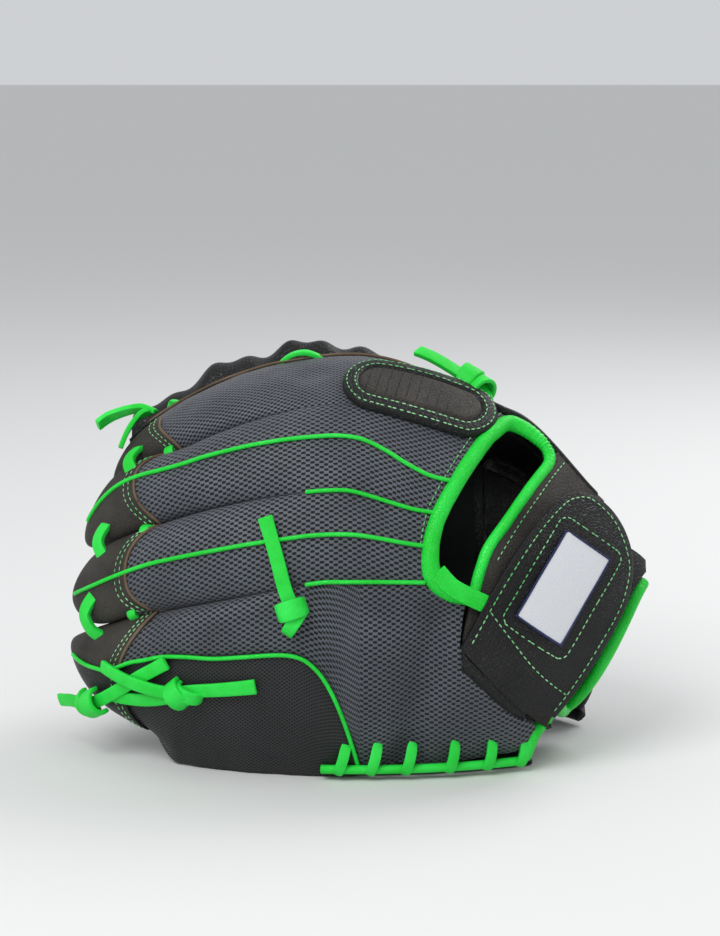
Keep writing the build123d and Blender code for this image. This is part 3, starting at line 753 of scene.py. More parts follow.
left_side = smooth_path(LEFT_ARM)
fine = 6 * (len(LEFT_ARM) - 1)
cutter = prism("cutter", [tuple(left_side(i / fine)) for i in range(fine + 1)] + TO_WRIST, -30, 30)
modify(cutter, "TRIANGULATE")
for obj in backs.values():
    modify(obj, "BOOLEAN", object=cutter, operation="DIFFERENCE", solver="EXACT")
bpy.data.objects.remove(cutter)

NODE_OF = {"little_finger": "pinky", "ring_finger": "ring", "middle_finger": "middle", "index_finger": "index"}
for finger, obj in backs.items():
    also = ["hand_back_panel", "hand_lining"] if finger == "middle_finger" else []
    mesh_cloth = FINE_MESH if finger == "index_finger" else GREY_MESH
    seat(obj, HAND, mesh_cloth, NODE_OF[finger] + "_back_panel", *also, fill=0.75)
print("opening cut", [len(o.data.polygons) for o in backs.values()])

# %% [markdown]
# ## Leather fingertips
# The tips take the wear, so they are leather: a cup over the end of each finger. Each cup is a sleeve
# whose section is the finger's own, closing in a round end. Its rear edge is cut as a lobe, and a
# pale raw edge and two rows of thread run along it.

# %% Fingertip shapes
# where each tip's rear edge lies: at its low seam, in the middle, and at its high seam
TIP_REAR = {
    "little_finger": (-104, -117, -97), "ring_finger": (-99, -113, -97),
    "middle_finger": (-96, -110, -90), "index_finger": (-86, -99, -94),
}
TIP_ROUND = 25  # millimetres over which a tip rounds off
# the little finger's tip also wraps down its side, below the piped seam
TIP_LOW = {"little_finger": lambda x: LITTLE_TIP_LOW}


def blunt(value, power):
    """A sine or cosine with fuller corners, for sections between a circle and a square."""
    return math.copysign(abs(value) ** power, value)


def across_tip(turn):
    """How far across a tip a turn is, from 1 at its high seam to -1 at its low seam."""
    return blunt(math.cos(math.radians(turn)), 0.77)


def rear(finger, s):
    """x of a tip's rear edge."""
    low, mid, high = TIP_REAR[finger]
    return mid + ((low - mid) if s < 0 else (high - mid)) * abs(s) ** 2.4


def rounding(x, tip):
    """How narrow and how flat a tip is at x, as it rounds off."""
    q = min(max((tip + TIP_ROUND - x) / TIP_ROUND, 0.0), 1.0)
    return math.sqrt(1 - q ** 2.5), math.sqrt(1 - q ** 2.9)


def tip_spot(finger, x, turn, lift=0.0):
    """A place on the skin of a fingertip: turn 0 is the high seam, 90 the back, 180 the low seam."""
    low, high, tip = FINGERS[finger]
    low = TIP_LOW.get(finger, low)
    narrow, flat = rounding(x, tip)
    a, s = math.radians(turn), across_tip(turn)
    half = (high(x) - low(x)) / 2
    deep = thickness(x) / 2
    angle = (low(x) + high(x)) / 2 + s * half * narrow
    height = -deep + deep * math.sin(a) * flat
    return dome(x, angle, height + lift * max(flat, 0.25))


tips = {}
for finger, (low, high, tip) in FINGERS.items():
    def place(u, v, finger=finger, tip=tip):
        turn = 360 * v
        s = across_tip(turn)
        start = rear(finger, s)
        if turn > 180:  # the palm side starts from a straight edge
            corner = TIP_REAR[finger][2 if s > 0 else 0]
            start = corner + (-102 - corner) * ease(math.sin(math.radians(turn - 180)) * 2)
        x = start + (tip - start) * math.sin(u * math.pi / 2)
        return tip_spot(finger, x, turn, 1.0)
    tips[finger] = weld(panel(finger + "_tip", 72, 44, place))
    modify(tips[finger], "SOLIDIFY", thickness=0.0016, offset=-1)
    seat(tips[finger], HAND, CHARCOAL, NODE_OF[finger] + "_tip_cap", fill=0.9)
print("tips", list(tips))

# %% [markdown]
# ### The seams of the tips
# A tip is sewn over the mesh. Its cut edge shows as a thin pale line, and two rows of thread run
# beside it, so both follow the same lobe at a small distance.

# %% Fingertip seams
FINE_GRAIN = (1.15, 0.34, 0.25)


def rear_run(finger, back, lift, turns):
    """A row beside a fingertip's rear edge, as (x, turn, lift) spots."""
    return smooth_path([(rear(finger, across_tip(turn)) - back, turn, lift) for turn in turns])


def on_tip(finger):
    """The skin of one finger's tip, as a place for paths."""
    return lambda x, turn, lift: tip_spot(finger, x, turn, lift)


for finger in FINGERS:
    turns = [176 - 172 * k / 24 for k in range(25)]
    edge = tube(finger + "_tip_edge", rear_run(finger, 0.2, 0.55, turns), 0.75, 90, 8, spot=on_tip(finger))
    seat(edge, HAND, TAN)
    for number, back in enumerate((3.2, 5.6)):
        run = rear_run(finger, back, 1.15, turns)
        row(f"{finger}_tip_stitches_{number}", run, 3.0, FINE_GRAIN, on_tip(finger))
print("fingertip seams sewn")

# %% [markdown]
# ## Pipings, welt and the green rolled binding
# A piping is a cord in a folded strip of leather, sewn into a seam. The binding round the opening is
# a wider roll over the cut edge: it bulges at the corners and wrinkles where it turns tightly.

# %% Pipings


def over_tip(finger, s, lift):
    """A run on a finger's back, carried on round the end of its tip."""
    low, high, tip = FINGERS[finger]
    low = TIP_LOW.get(finger, low)
    spots = []
    for x in (tip + 2.2, tip + 5, tip + 10, tip + 16, tip + 22):
        narrow, flat = rounding(x, tip)
        deep, up = thickness(x) / 2, math.sqrt(max(1 - abs(s) ** 2.6, 0))
        angle = (low(x) + high(x)) / 2 + s * (high(x) - low(x)) / 2 * narrow
        spots.append((x, angle, -deep + deep * up * flat + lift))
    return spots


def piping(name, node_name, spots):
    """A thin green cord sewn into a seam."""
    seat(tube(name, smooth_path(spots), 1.05, 14 * len(spots), 10), HAND, BINDING, node_name, slot="green_lace")


def line_on(finger, s, first, last, count, lift=1.0, fall=0.0):
    """Spots along a finger's back; fall moves the line towards the low seam near the hand."""
    xs = [first + (last - first) * k / (count - 1) for k in range(count)]
    return [crest(finger, x, s - fall * ease((x + 12) / 50), lift) for x in xs]


piping("middle_finger_piping", "middle_piping",
       over_tip("middle_finger", 0.1, 1.6) + line_on("middle_finger", 0.12, -108, 44, 15, fall=0.4))
piping("ring_finger_piping", "ring_piping",
       over_tip("ring_finger", 0.0, 1.6) + line_on("ring_finger", 0.0, -112, 31, 14))
piping("upper_piping", "upper_short_piping", line_on("ring_finger", 1.0, -26, 36, 7, 1.4))
piping("lower_piping", "lower_short_piping", line_on("little_finger", 1.0, -26, 31, 7, 1.4))
side_run = over_tip("little_finger", 0.18, 2.4)
side_run += [(-112, side_seam(-112), 2.0), (-104, side_seam(-104), 1.2)]
turning_down = (-95, -84, -70, -56, -44, -36, -30, -25, -20, -16, -12, -8, -5, -2.5, -1)
side_run += [(x, side_seam(x), 0.3) for x in turning_down]
piping("side_piping", "little_finger_piping", side_run)
print("pipings laid")

# %% [markdown]
# ### The index finger's edge, and the rim of the opening
# The index panel ends in a thin pale welt. The opening's rim is a thick roll, so its wrinkles are
# added to its radius: close ones at the tight corner, slow ones all along.

# %% Welt and binding
welt_run = [(x, index_edge(x) - 0.6, -0.6 + ripple(x, 80)) for x in range(-106, 62, 12)]
seat(tube("index_welt_roll", smooth_path(welt_run), 0.75, 150, 8), HAND, TAN, "index_welt")


def roll_radius(t):
    """Thicker along the left arm than the right, and fullest at the corner below."""
    right = ease((0.42 - t) / 0.1)
    return 3.9 - 1.1 * right + 0.7 * math.exp(-((t - 0.83) / 0.06) ** 2)


def roll_wrinkles(t, turn):
    """Wrinkles where the roll turns tightly, and a slow unevenness."""
    corner = math.exp(-((t - 0.33) / 0.055) ** 2) + 0.5 * math.exp(-((t - 0.93) / 0.03) ** 2)
    slow = noise.noise(Vector((t * 34, math.cos(turn * 6.28), 4)))
    return 0.30 * corner * math.sin(t * 560) + 0.18 * slow


roll = tube("opening_roll", smooth_path([(x, a, 0.0) for x, a in OPENING]), roll_radius, 330, 24,
            spot=lambda x, a, h: dome(x, a, h - 1.0), bumps=roll_wrinkles)
seat(roll, HAND, BINDING, "opening_binding", fill=0.9)
tab = lace("opening_roll_tab", [(36, 18.4, 3.0), (42, 15.4, 4.4), (49, 13.6, 5.2), (58, 11.8, 5.0)], 8.6, 3.0)
seat(tab, HAND, BINDING)
print("opening bound")

# %% [markdown]
# ## The wrist band beside the opening
# Right of the opening a strip of charcoal leather carries on as the band round the wrist, mostly
# under the strap. One grid covers it, from the opening's right arm to the wrist.

# %% Wrist band
# where the band begins, from the strap's root up beside the opening
ARM = [(91, -21), (80, -15), (68, -9), (57, -3), (48, 3), (53, 13), (60, 23.2), (70, 31), (81, 40.5), (92, 52),
       (98, 58)]


def arm_x(angle):
    """x at which the band begins, at an angle."""
    for (x0, a0), (x1, a1) in zip(ARM, ARM[1:]):
        if a0 <= angle <= a1:
            return x0 + (x1 - x0) * (angle - a0) / (a1 - a0)
    return ARM[-1][0]


def band_place(u, v):
    angle = -20.9 + 78.5 * v
    last = max(min(119.0, 92 + (angle + 18) * 1.15), arm_x(angle) + 2)
    return above(arm_x(angle) + (last - arm_x(angle)) * u, angle, 0.4 + 0.3 * ripple(90 * u, angle))


band = panel("wrist_band_strip", 60, 40, band_place, thick=3.0, bevel=0.6)
seat(band, HAND, CHARCOAL, "wrist_band", fill=0.8)
arm_row = ((60, 22.6), (70, 31), (81, 40.5), (90, 49.6), (95, 55))
beside = smooth_path([(x + 4.6, a - 1.4, 0.7) for x, a in arm_row])
row("wrist_band_stitches", beside, 3.0, FINE_GRAIN)
outside = smooth_path([(x - 4.8, a + 1.6, 0.5) for x, a in LEFT_ARM[1:7]])
row("opening_stitches", outside, 3.2, (1.2, 0.34, 0.25))
print("wrist band laid")

# %% [markdown]
# ## The index pad
# The pad over the back of the index finger is a puffed black ring with a pored insert. A slot shape
# is easiest as a polar grid: one way round the slot, the other from its middle line to its rim.

# %% Index pad


PAD_HALF = 19.0  # half of the straight stretch of the slot, along the finger


def on_pad(p, q, lift):
    """A place on the pad: p along its middle line, q across it, in millimetres."""
    return 29 + 0.975 * p + 0.225 * q, 63 - 0.118 * p + 0.51 * q, lift


def slot_place(round_turn, reach, lift):
    """A place on the pad: round_turn from 0 to 1 about it, reach in millimetres from its middle line."""
    a = 2 * math.pi * round_turn
    p = math.copysign(PAD_HALF, math.cos(a)) * min(abs(math.cos(a)) * 3, 1) + reach * math.cos(a)
    return on_pad(p, reach * math.sin(a), lift)


def ring_height(v):
    return 0.6 + 3.6 * math.sqrt(max(1 - abs(2 * v - 1) ** 3, 0))


def ring_place(u, v):
    return above(*slot_place(u, 10.2 + 8.8 * v, ring_height(v)))


def middle_place(u, v):
    return above(*slot_place(u, 11.2 * v, 3.9 - 1.3 * ease((v - 0.86) / 0.14)))


border = weld(panel("index_pad_ring", 20, 120, ring_place))
modify(border, "SOLIDIFY", thickness=0.0015, offset=-1)
seat(border, HAND, BLACK, "index_pad_border", fill=0.9)
insert = weld(panel("index_pad_middle", 12, 100, middle_place))
modify(insert, "SOLIDIFY", thickness=0.0012, offset=-1)
seat(insert, HAND, CHARCOAL, "index_pad_insert")
for number, (reach, lift) in enumerate(((16.7, 4.1), (12.8, 4.25))):
    ring = smooth_path([slot_place(k / 48, reach, lift) for k in range(49)])
    row(f"index_pad_stitches_{number}", ring, 3.0, (1.15, 0.36, 0.25))
for k in range(11):
    p = -25 + 5 * k
    half = math.sqrt(max(10.2 ** 2 - max(abs(p) - PAD_HALF, 0) ** 2, 1))
    rib = tube(f"index_pad_rib_{k}", smooth_path([on_pad(p, q, 3.75) for q in (-half, 0, half)]), 0.35, 14, 6)
    seat(rib, HAND, BLACK)
print("index pad made")

# %% [markdown]
# ## The wrist strap
# The strap is a flap sewn on along its root below the opening; it lies over the wrist band and is
# held by hook and loop. Its panel is spun between its two long sides, with the free end rounded.
# It bends at its root when it is opened; here it stays closed, where it lies.

# %% Strap
STRAP_LEFT = smooth_path([(47.5, 2.6), (60, 12.5), (76, 24.6), (93, 36.5), (106, 45)])
STRAP_RIGHT = smooth_path([(89, -18.5), (101, -12.4), (112, -5.0), (124, 5.5), (136, 21)])
STRAP_TOP = 7.0  # height of its face


def strap_spot(u, v, lift=0.0):
    """u from the root to the free end, v from the left side to the right."""
    free_corner = 0.13 * abs(2 * v - 1) ** 4 * u ** 3
    root_corner = 0.11 * ease((v - 0.7) / 0.3) * (1 - u) ** 5
    reach = u * (1 - free_corner) + root_corner
    (x0, a0), (x1, a1) = STRAP_LEFT(reach), STRAP_RIGHT(reach)
    bulge = math.sin(math.pi * v) * u ** 4
    x, angle = x0 + (x1 - x0) * v + 6 * bulge, a0 + (a1 - a0) * v + 7 * bulge
    pillow = 0.9 * (1 - (2 * v - 1) ** 6) * (1 - (2 * u - 1) ** 8)
    soft = 0.4 * noise.noise(Vector((x / 24, angle / 12, 1.7)))
    return x, angle, STRAP_TOP - 0.7 + pillow + soft + lift


root_middle = (dome(50, 1, 5) + dome(90, -19, 5)) / 2000
over_root = (dome(100, 18, 5) - dome(70, -8, 5)).normalized() * 0.004
ROOT_BEND = (root_middle - over_root, root_middle + over_root)
strap = panel("strap_leather", 48, 72, lambda u, v: dome(*strap_spot(u, v)), thick=4.0, bevel=1.3)
bend(strap, *ROOT_BEND, STRAP, BLACK, "wrist_strap")


def strap_row(name, spots):
    """A row of thread on the strap."""
    path = smooth_path([strap_spot(u, v, 0.25) for u, v in spots])
    bend(sew(name, path, 3.3, (1.25, 0.38, 0.28), dome), *ROOT_BEND, STRAP, THREAD)


rounded = [(0.07, 0.055), (0.3, 0.055), (0.55, 0.055), (0.8, 0.055), (0.91, 0.08), (0.955, 0.2), (0.96, 0.5),
           (0.955, 0.8), (0.91, 0.92), (0.8, 0.945), (0.55, 0.945), (0.3, 0.945), (0.07, 0.945)]
strap_row("strap_stitches_edge", rounded)
strap_row("strap_stitches_root", [(0.23, 0.055), (0.23, 0.3), (0.23, 0.6), (0.23, 0.945)])
print("strap made")

# %% [markdown]
# ### The label on the strap
# A satin patch, flat in itself, lies over the strap's curve. Its outline is drawn on a flat plane
# and dropped on to the strap, so that it keeps straight edges, and a navy edge is sewn round it.

# %% Label
label_centre = dome(97, 16.0, 7)
label_up = (dome(97, 16.0, 12) - label_centre).normalized()
label_way = (dome(108, 23, 7) - dome(80, 0, 7)).normalized()
label_side = label_up.cross(label_way).normalized()


def label_spot(p, q, lift):
    """A place over the label: p along it, q across it, dropped along its normal to the dome."""
    flat = label_centre + label_way * p + label_side * q
    x = flat.x - SHIFT.x

    def beyond(angle):
        return (dome(x, angle, STRAP_TOP) - flat).dot(label_side) * label_side.z > 0
    return x, halve(-60.0, 80.0, beyond), STRAP_TOP + lift


def rectangle(half_long, half_wide, lift, corner):
    """A path round the label, with rounded corners."""
    spots = []
    for sp, sq, first in ((1, 1, 0), (-1, 1, 90), (-1, -1, 180), (1, -1, 270)):
        for k in range(5):
            a = math.radians(first + 22.5 * k)
            spots.append(label_spot(sp * (half_long - corner) + corner * math.cos(a),
                                    sq * (half_wide - corner) + corner * math.sin(a), lift))
        if sp == sq:
            for t in (0.5 * sp, -0.5 * sp):
                spots.append(label_spot(t * (half_long - corner), sq * half_wide, lift))
    return smooth_path(spots + spots[:1])


def satin_place(u, v):
    return dome(*label_spot(48 * (u - 0.5), 25 * (v - 0.5), 1.7))


seat(panel("label_satin", 20, 36, satin_place, thick=1.0, bevel=0.3), STRAP, LABEL, "label_patch")
seat(tube("label_rim", rectangle(24.2, 12.7, 1.5, 1.2), 0.6, 200, 8), STRAP, NAVY)
row("strap_stitches_label", rectangle(30.5, 18.0, 0.9, 5.0), 3.2, (1.25, 0.38, 0.28), dome, STRAP)
refinish(PILE, "loop_patch", "hook_patch")
print("label sewn on")

# %% [markdown]
# ## The strap's root
# Below its root line the strap is sewn to a black leather gusset on the hand.

# %% Strap root


def root_place(u, v):
    x = 47 + 30 * u
    high = 2.0 - 21 * (x - 48) / 42 - 0.6
    low = high - 5.5 + 2 * ease(u * 3 - 2)
    return above(x, low + (high - low) * v, 1.0 + 4.4 * ease(v * 1.5))


gusset = panel("strap_gusset", 16, 24, root_place, thick=3.0, bevel=1.0)
seat(gusset, HAND, BLACK, "strap_root")
print("gusset made")

# %% [markdown]
# ## Laces and knots
# Flat green laces tie the fingertips to each other and the seams to the palm. Where a lace is tied
# the ends pass under a turn of itself, so each knot is a lace with a band wrapped over it.

# %% Laces at the fingertips


def green(obj, *nodes, body=HAND):
    """Finishes a lace."""
    seat(obj, body, GREEN, *nodes)


joins = (("index_middle_lace", -112, 61.5, -3.0), ("middle_ring_lace", -127, 35.5, -4.0),
         ("ring_little_finger_lace", -132, 9.0, -2.0))
for name, x, angle, sunk in joins:
    spots = [(x + 4, angle + 9.5, sunk - 2.5), (x + 1, angle + 6, sunk + 2.2), (x - 1.5, angle, sunk + 4.4),
             (x, angle - 6, sunk + 2.2), (x + 3, angle - 9.5, sunk - 2.5)]
    green(lace(name + "_outer", spots, 6.5), name)
for number, (x, angle) in enumerate(((-96, 59.5), (-107, 33), (-113, 10))):
    spots = [(x + 1, angle + 3.6, -9), (x, angle + 1.6, -4.5), (x, angle - 1.6, -4.5), (x + 1, angle - 3.6, -9)]
    green(lace(f"inner_join_{number}", spots, 5.0, 2.0))
print("joins laced")

# %% [markdown]
# ### The ties with long ends
# Each tie is a lace whose spots are its course, with its width at each, and one or two turns of
# itself wrapped over it where it is knotted. Heights say which lace passes over which.

# %% Knots
# the long tail at the crotch of the ring finger
tail = [(-30, 8.8, 1.5, 6), (-32, 11.5, 3.4, 7), (-35, 15, 3.4, 7), (-38, 20, 3.0, 7), (-41, 25, 3.4, 7),
        (-44, 30, 4.2, 7.4)]
green(lace("crotch_tail", tail), "crotch_knot")
green(wrap("crotch_wrap", (-31.6, 10.6, 2.0), (-3, 4), 9.5, 5.4, 5.2))
green(wrap("crotch_wrap_low", (-30.2, 8.0, 1.0), (-4, 1.2), 6.5, 5.4, 4.2))

# two ties cross at the little finger
low_tie = [(-145, -38, 7.0, 6.5), (-140, -31, 6.0, 6.5), (-133, -26, 5.4, 6.5), (-126, -21, 5.6, 6.5),
           (-116, -14, 4.2, 6.5), (-106, -8.4, 3.2, 6.8), (-97, -4.6, 3.2, 6.8), (-91.5, -2.6, 3.6, 7)]
high_tie = [(-123.5, -7.6, 4.0, 6.5), (-113.4, -8.6, 6.2, 6.5), (-104, -9.4, 6.4, 6.5), (-94, -10, 4.8, 6.5),
            (-85, -9.3, 4.2, 6.5), (-77, -8.2, 4.4, 6.5), (-66, -7.2, 4.2, 6.8), (-48.5, -5.6, 4.4, 7.4)]
green(lace("little_tie_low", low_tie), "little_finger_knot_low")
green(lace("little_tie_high", high_tie), "little_finger_knot_high")
green(wrap("little_wrap_low", (-126.5, -21.6, 4.0), (4, 3), 9.5, 5.0, 5.0))
green(wrap("little_wrap_low_2", (-131, -24.5, 3.0), (3, 5), 6.5, 5.0, 4.4))
green(wrap("little_wrap_high", (-85, -9.6, 2.4), (4, 2), 9.5, 5.2, 5.2))
green(wrap("little_wrap_high_2", (-80.5, -9.0, 2.0), (3, 4), 6.5, 5.2, 4.4))
cross = [(-121, -17.5, 2.4, 6), (-112, -15.8, 2.8, 6.4), (-103, -14.2, 2.8, 6.6), (-95, -12.6, 2.8, 6.4),
         (-88, -11, 2.4, 6)]
green(lace("little_tie_cross", cross))

# the curled end at the tip of the index finger, and the tie over the thumb's root
curl = [(-101, 84, 2.0, 6), (-104, 86, 7.0, 7), (-110, 88, 11.0, 7), (-117, 88, 14.5, 7), (-122, 84.5, 15.5, 7)]
green(lace("index_tip_curl", curl, lean=35), "index_tip_knot")
fall = [(-103, 85, 4.0, 6.5), (-108, 82, 6.0, 7), (-114, 79, 4.6, 7), (-119.5, 75, 1.6, 7)]
green(lace("index_tip_fall", fall, lean=20))
root_tie = [(26, 83, 7.5, 7.5), (33, 80.5, 7.6, 7.5), (42, 77.5, 7.0, 7.5), (50, 75, 6.4, 7.5),
            (58, 72.6, 5.2, 7), (63, 70, 1.0, 6)]
green(lace("thumb_root_tie", root_tie, lean=35), "thumb_root_knot")
green(wrap("thumb_root_wrap", (51, 74.4, 4.4), (4, -1.4), 10.0, 5.8, 5.6))
green(wrap("thumb_root_wrap_2", (57.5, 71.8, 3.2), (3, -2.6), 8.0, 5.8, 5.4))
green(lace("index_crest_lace", [(-42, 86, -1.5, 6), (-34, 85.5, 2.6, 7), (-26, 85, 2.6, 7), (-18, 85, -1.5, 6)]))
green(lace("index_crest_bit", [(-98, 84.5, -2, 5), (-94, 85, 2.0, 6), (-90, 84.5, -2, 5)]))
print("knots tied")

# %% [markdown]
# ## The laced seam along the ground
# The back is joined to the palm by a cord with flat loops thrown over it, leaning with the stitch.

# %% Ground seam


def seam_angle(x):
    """Angle at which the cord lies just over the ground."""
    return ground_angle(x, 2.6, 5.4)


seam_run = smooth_path([(x, seam_angle(x), 2.6) for x in (-19, *range(-10, 81, 10))])
green(tube("seam_cord", seam_run, 2.2, 160, 12), "seam_lace")
for k, x in enumerate((-10, 5, 21.5, 42, 60, 76)):
    a = seam_angle(x)
    loop = [(x + 4, a + 5.4, -0.8, 4.0), (x + 3.2, a + 4.6, 1.7, 5.0), (x + 1.8, a + 2.4, 4.6, 5.2),
            (x, a + 0.2, 5.6, 5.2), (x - 1.4, a - 0.9, 4.0, 4.8)]
    green(lace(f"seam_loop_{k}", loop, thick=1.9))
print("seam laced")

# %% [markdown]
# ## The side of the little finger and the palm
# Below the piped seam a finer black mesh turns down to the ground. The palm side is one hide of
# leather that follows the same fingers inside out, with a pocket pressed into it by use.

# %% Side panel


def side_place(u, v):
    x = -119 + 117.5 * u
    low, high = ground_angle(x, 0, 0.7), side_seam(x)
    low += (LITTLE_TIP_LOW - low) * ease((-84 - x) / 40)
    angle = low + (high - low) * v
    flat = 0.7 * (1 - v) - 1.2 + 1.4 * ripple(x, 20 + 9 * v) + 1.2 * math.sin(math.pi * v)
    share = ease((-88 - x) / 24)
    return above(x, angle, (tip_wrap(x, angle) + 0.4) * share + flat * (1 - share))


side = panel("little_finger_side", 30, 90, side_place, thick=2.5)
seat(side, HAND, BLACK_MESH, "little_finger_side_panel", fill=0.7)


def side_tip_place(u, v):
    turn = 84 + 104 * v
    x = rear("little_finger", across_tip(turn)) + 1.5
    return tip_spot("little_finger", x + (-145.0 - x) * math.sin(u * math.pi / 2), turn, 2.0)


side_tip = weld(panel("little_finger_side_tip", 30, 40, side_tip_place), 0.02)
modify(side_tip, "SOLIDIFY", thickness=0.0012, offset=-1)
seat(side_tip, HAND, BLACK)
for number, back in enumerate((1.2, 4.0)):
    run = rear_run("little_finger", back, 2.3, [88 + 8 * k for k in range(12)])
    row(f"side_tip_stitches_{number}", run, 3.0, (1.1, 0.34, 0.25), on_tip("little_finger"))


def base_place(u, v):
    x = -91 + 175 * u
    front = dome(x, ground_angle(x, 0, 3.0), -3.4 - 9 * (1 - ease(u * 7)))
    back = dome(x, ground_angle(x, -thickness(x), 3.0), -thickness(x))
    return front + (back - front) * v + Vector((0, 0, 2.8 - front.z - (back.z - front.z) * v))


base = panel("base_leather", 14, 80, base_place)
modify(base, "SOLIDIFY", thickness=0.0024, offset=1)
modify(base, "BEVEL", width=0.0009, segments=2, limit_method="ANGLE", angle_limit=SMOOTH_ANGLE)
seat(base, HAND, BLACK, "base_strip")
print("side panel made")

# %% [markdown]
# ### The palm
# One hide covers the palm, a padding's depth inside the back. Grooves part the fingers and fade into
# the pocket, with a row of thread on both sides of each. The felt and the lining behind the hide
# keep the frame's own shape and only get a finish.

# %% Palm
FINGER_SEAMS = (seam_one, seam_two, seam_three)


def palm_dip(x, angle):
    """Grooves between the fingers on the palm side, fading into the pocket."""
    groove = sum(math.exp(-(((angle - line(x)) * 1.6) / 2.6) ** 2) for line in FINGER_SEAMS)
    return 3.2 * groove * (1 - ease((x + 40) / 50))


def palm_angle(x, share):
    """An angle on the palm, from the ground up to the index finger's edge."""
    depth = -thickness(x)
    low = ground_angle(x, depth, 4.0)
    inner = FRONT_RADIUS * shrink(x) + depth
    high = min(90 - math.degrees(math.asin(min(0.99, 6.6 / inner))), index_edge(x) - 0.5)
    return low + (high - low) * share


def palm_place(u, v):
    x = -94 + 154 * u
    angle = palm_angle(x, v)
    return dome(x, angle, -thickness(x) + palm_dip(x, angle) + 0.4 + 0.5 * ripple(x, angle))


palm = panel("palm_hide", 70, 110, palm_place, thick=-3.0, bevel=0.6)
seat(palm, HAND, PALM, "palm_shell", fill=0.8)
refinish(FELT, "palm_pad")
refinish(LINING, "palm_lining", "little_finger_heel_pad")
refinish(PALM, "heel_crease")
for number, line in enumerate(FINGER_SEAMS):
    for side_name, off in (("low", -2.4), ("high", 2.4)):
        run = smooth_path([(x, line(x) + off, -thickness(x) - 0.1) for x in range(-94, 10, 10)])
        row(f"palm_stitches_{number}_{side_name}", run, 4.0, (1.3, 0.36, 0.3), dome)
print("palm made")

# %% [markdown]
# ## The heel
# The heel closes the palm at the wrist. Its edge is bound with the same green roll.

# %% Heel


def rim_height(x):
    """How high over the ground the heel's bound edge runs."""
    return 4.0 + 14 * ease((x - 78) / 26) + 68 * ease((x - 95) / 50)


def heel_place(u, v):
    x = 60.4 + 80.6 * u
    depth = -thickness(x)
    low, high = ground_angle(x, depth, rim_height(x)), index_edge(x) - 5 / 2.3
    return dome(x, low + (high - low) * v, depth + 0.4 * ripple(x, 12 + 40 * v) + 0.2)


heel = panel("heel_hide", 40, 50, heel_place, thick=-3.0, bevel=0.6)
seat(heel, HAND, PALM, "heel_palm")
rim_spots = [(79, seam_angle(79), 2.0), (84, -21.5, -1.0), (90, -20.0, -6.0), (96, -17.5, -13.0)]
for x in (103, 109, 115, 121, 127, 133, 139, 142):
    depth = -thickness(x) + 1.5
    slope = (rim_height(x + 1) - rim_height(x - 1)) / 2
    below = 4.0 * 1.5 * math.sqrt(1 + slope ** 2)
    angle = ground_angle(x, depth, rim_height(x)) - math.degrees(below / (120 * shrink(x)))
    rim_spots.append((x, angle, depth))
seat(tube("heel_roll", smooth_path(rim_spots), 3.3, 120, 16), HAND, BINDING, "heel_binding")


def far_ground(x):
    """Angle at which the far side of the dome nears the ground."""
    return halve(95.0, 262.0, lambda angle: dome(x, angle).z - SHIFT.z <= 1.0)


def heel_skin(name, low, high, height, across):
    """A skin over the thumb side's heel, between two angles that may change with x."""
    def place(u, v):
        x = 60 + 57 * u
        a0, a1 = low(x), high(x)
        return dome(x, a0 + (a1 - a0) * v, height + 0.5 * ripple(x, 40 * v))
    return panel(name, across, 44, place, thick=4.0, bevel=1.2)


# the upper strip stays with the hand; the lower skin stays where it lies
upper_heel = heel_skin("thumb_heel_strip", lambda x: index_edge(x) + 1.2, lambda x: 103.0, 2.6, 30)
seat(upper_heel, HAND, BLACK)
thumb_heel = heel_skin("thumb_heel_skin", lambda x: 96.0, far_ground, -0.6, 60)
bend(thumb_heel, (0.108, 0, 0), (0.062, 0, 0), THUMB, BLACK, "thumb_heel_back")
for number, off in enumerate((2.4, 5.0)):
    run = smooth_path([(x, 103.0 - off / 2, 2.8) for x in range(62, 117, 9)])
    row(f"thumb_heel_stitches_{number}", run, 3.6, (1.3, 0.38, 0.3), dome)
heel_piping = tube("thumb_heel_piping", smooth_path([(x, 103.4, 1.6) for x in range(61, 118, 8)]), 1.2, 60, 10)
seat(heel_piping, HAND, BINDING, slot="green_lace")


def bolster(name, node_name, low, high, near, deep, x0, x1, square=0.7):
    """A closed, rounded pad between two angles and two depths, along x."""
    def place(u, v):
        a, end = 2 * math.pi * v, min(u, 1 - u) * 6
        close = math.sqrt(max(1 - (1 - min(end, 1)) ** 2, 0.0))
        x = x0 + (x1 - x0) * u
        lo, hi = low(x), high(x)
        p, q = blunt(math.cos(a), square) * close, blunt(math.sin(a), square) * close
        return dome(x, (lo + hi) / 2 + (hi - lo) / 2 * p, (near + deep) / 2 + (near - deep) / 2 * q)
    seat(weld(panel(name, 48, 40, place), 0.2), HAND, PALM, node_name, fill=0.85)


bolster("thumb_heel_bolster", "thumb_heel_pad", lambda x: 100, lambda x: 178, -17, -29, 60, 119)
bolster("thumb_heel_foot", "thumb_heel_base", lambda x: 178, far_ground, -4.6, -28.5, 62, 124)
print("heel made")

# %% [markdown]
# ## The thumb side and the web
# The thumb is one thick stall. The web, a sheet of black leather with a bar of leather down it, hangs
# between it and the index finger. When the glove opens and closes it folds at the crotch; here the web
# and the crotch stay where they lie.

# %% Thumb stall


def stall_section(x, turn, lift=0.0, round_from=-82.0, tip=-112.0):
    """The thumb's skin: turn 0 is its outer edge, 90 the back."""
    q = min(max((round_from - x) / (round_from - tip), 0.0), 1.0)
    close = math.sqrt(1 - q ** 2.3)
    a = math.radians(turn)
    p, r = blunt(math.cos(a), 0.6) * close, blunt(math.sin(a), 0.75) * close
    return dome(x, 147.3 + 22.4 * p, -13 + 13.2 * r + lift)


def stall_place(u, v):
    x = 58 - 138 * u
    return stall_section(x, 360 * v, 0.4 * ripple(x, 30 * math.sin(2 * math.pi * v)))


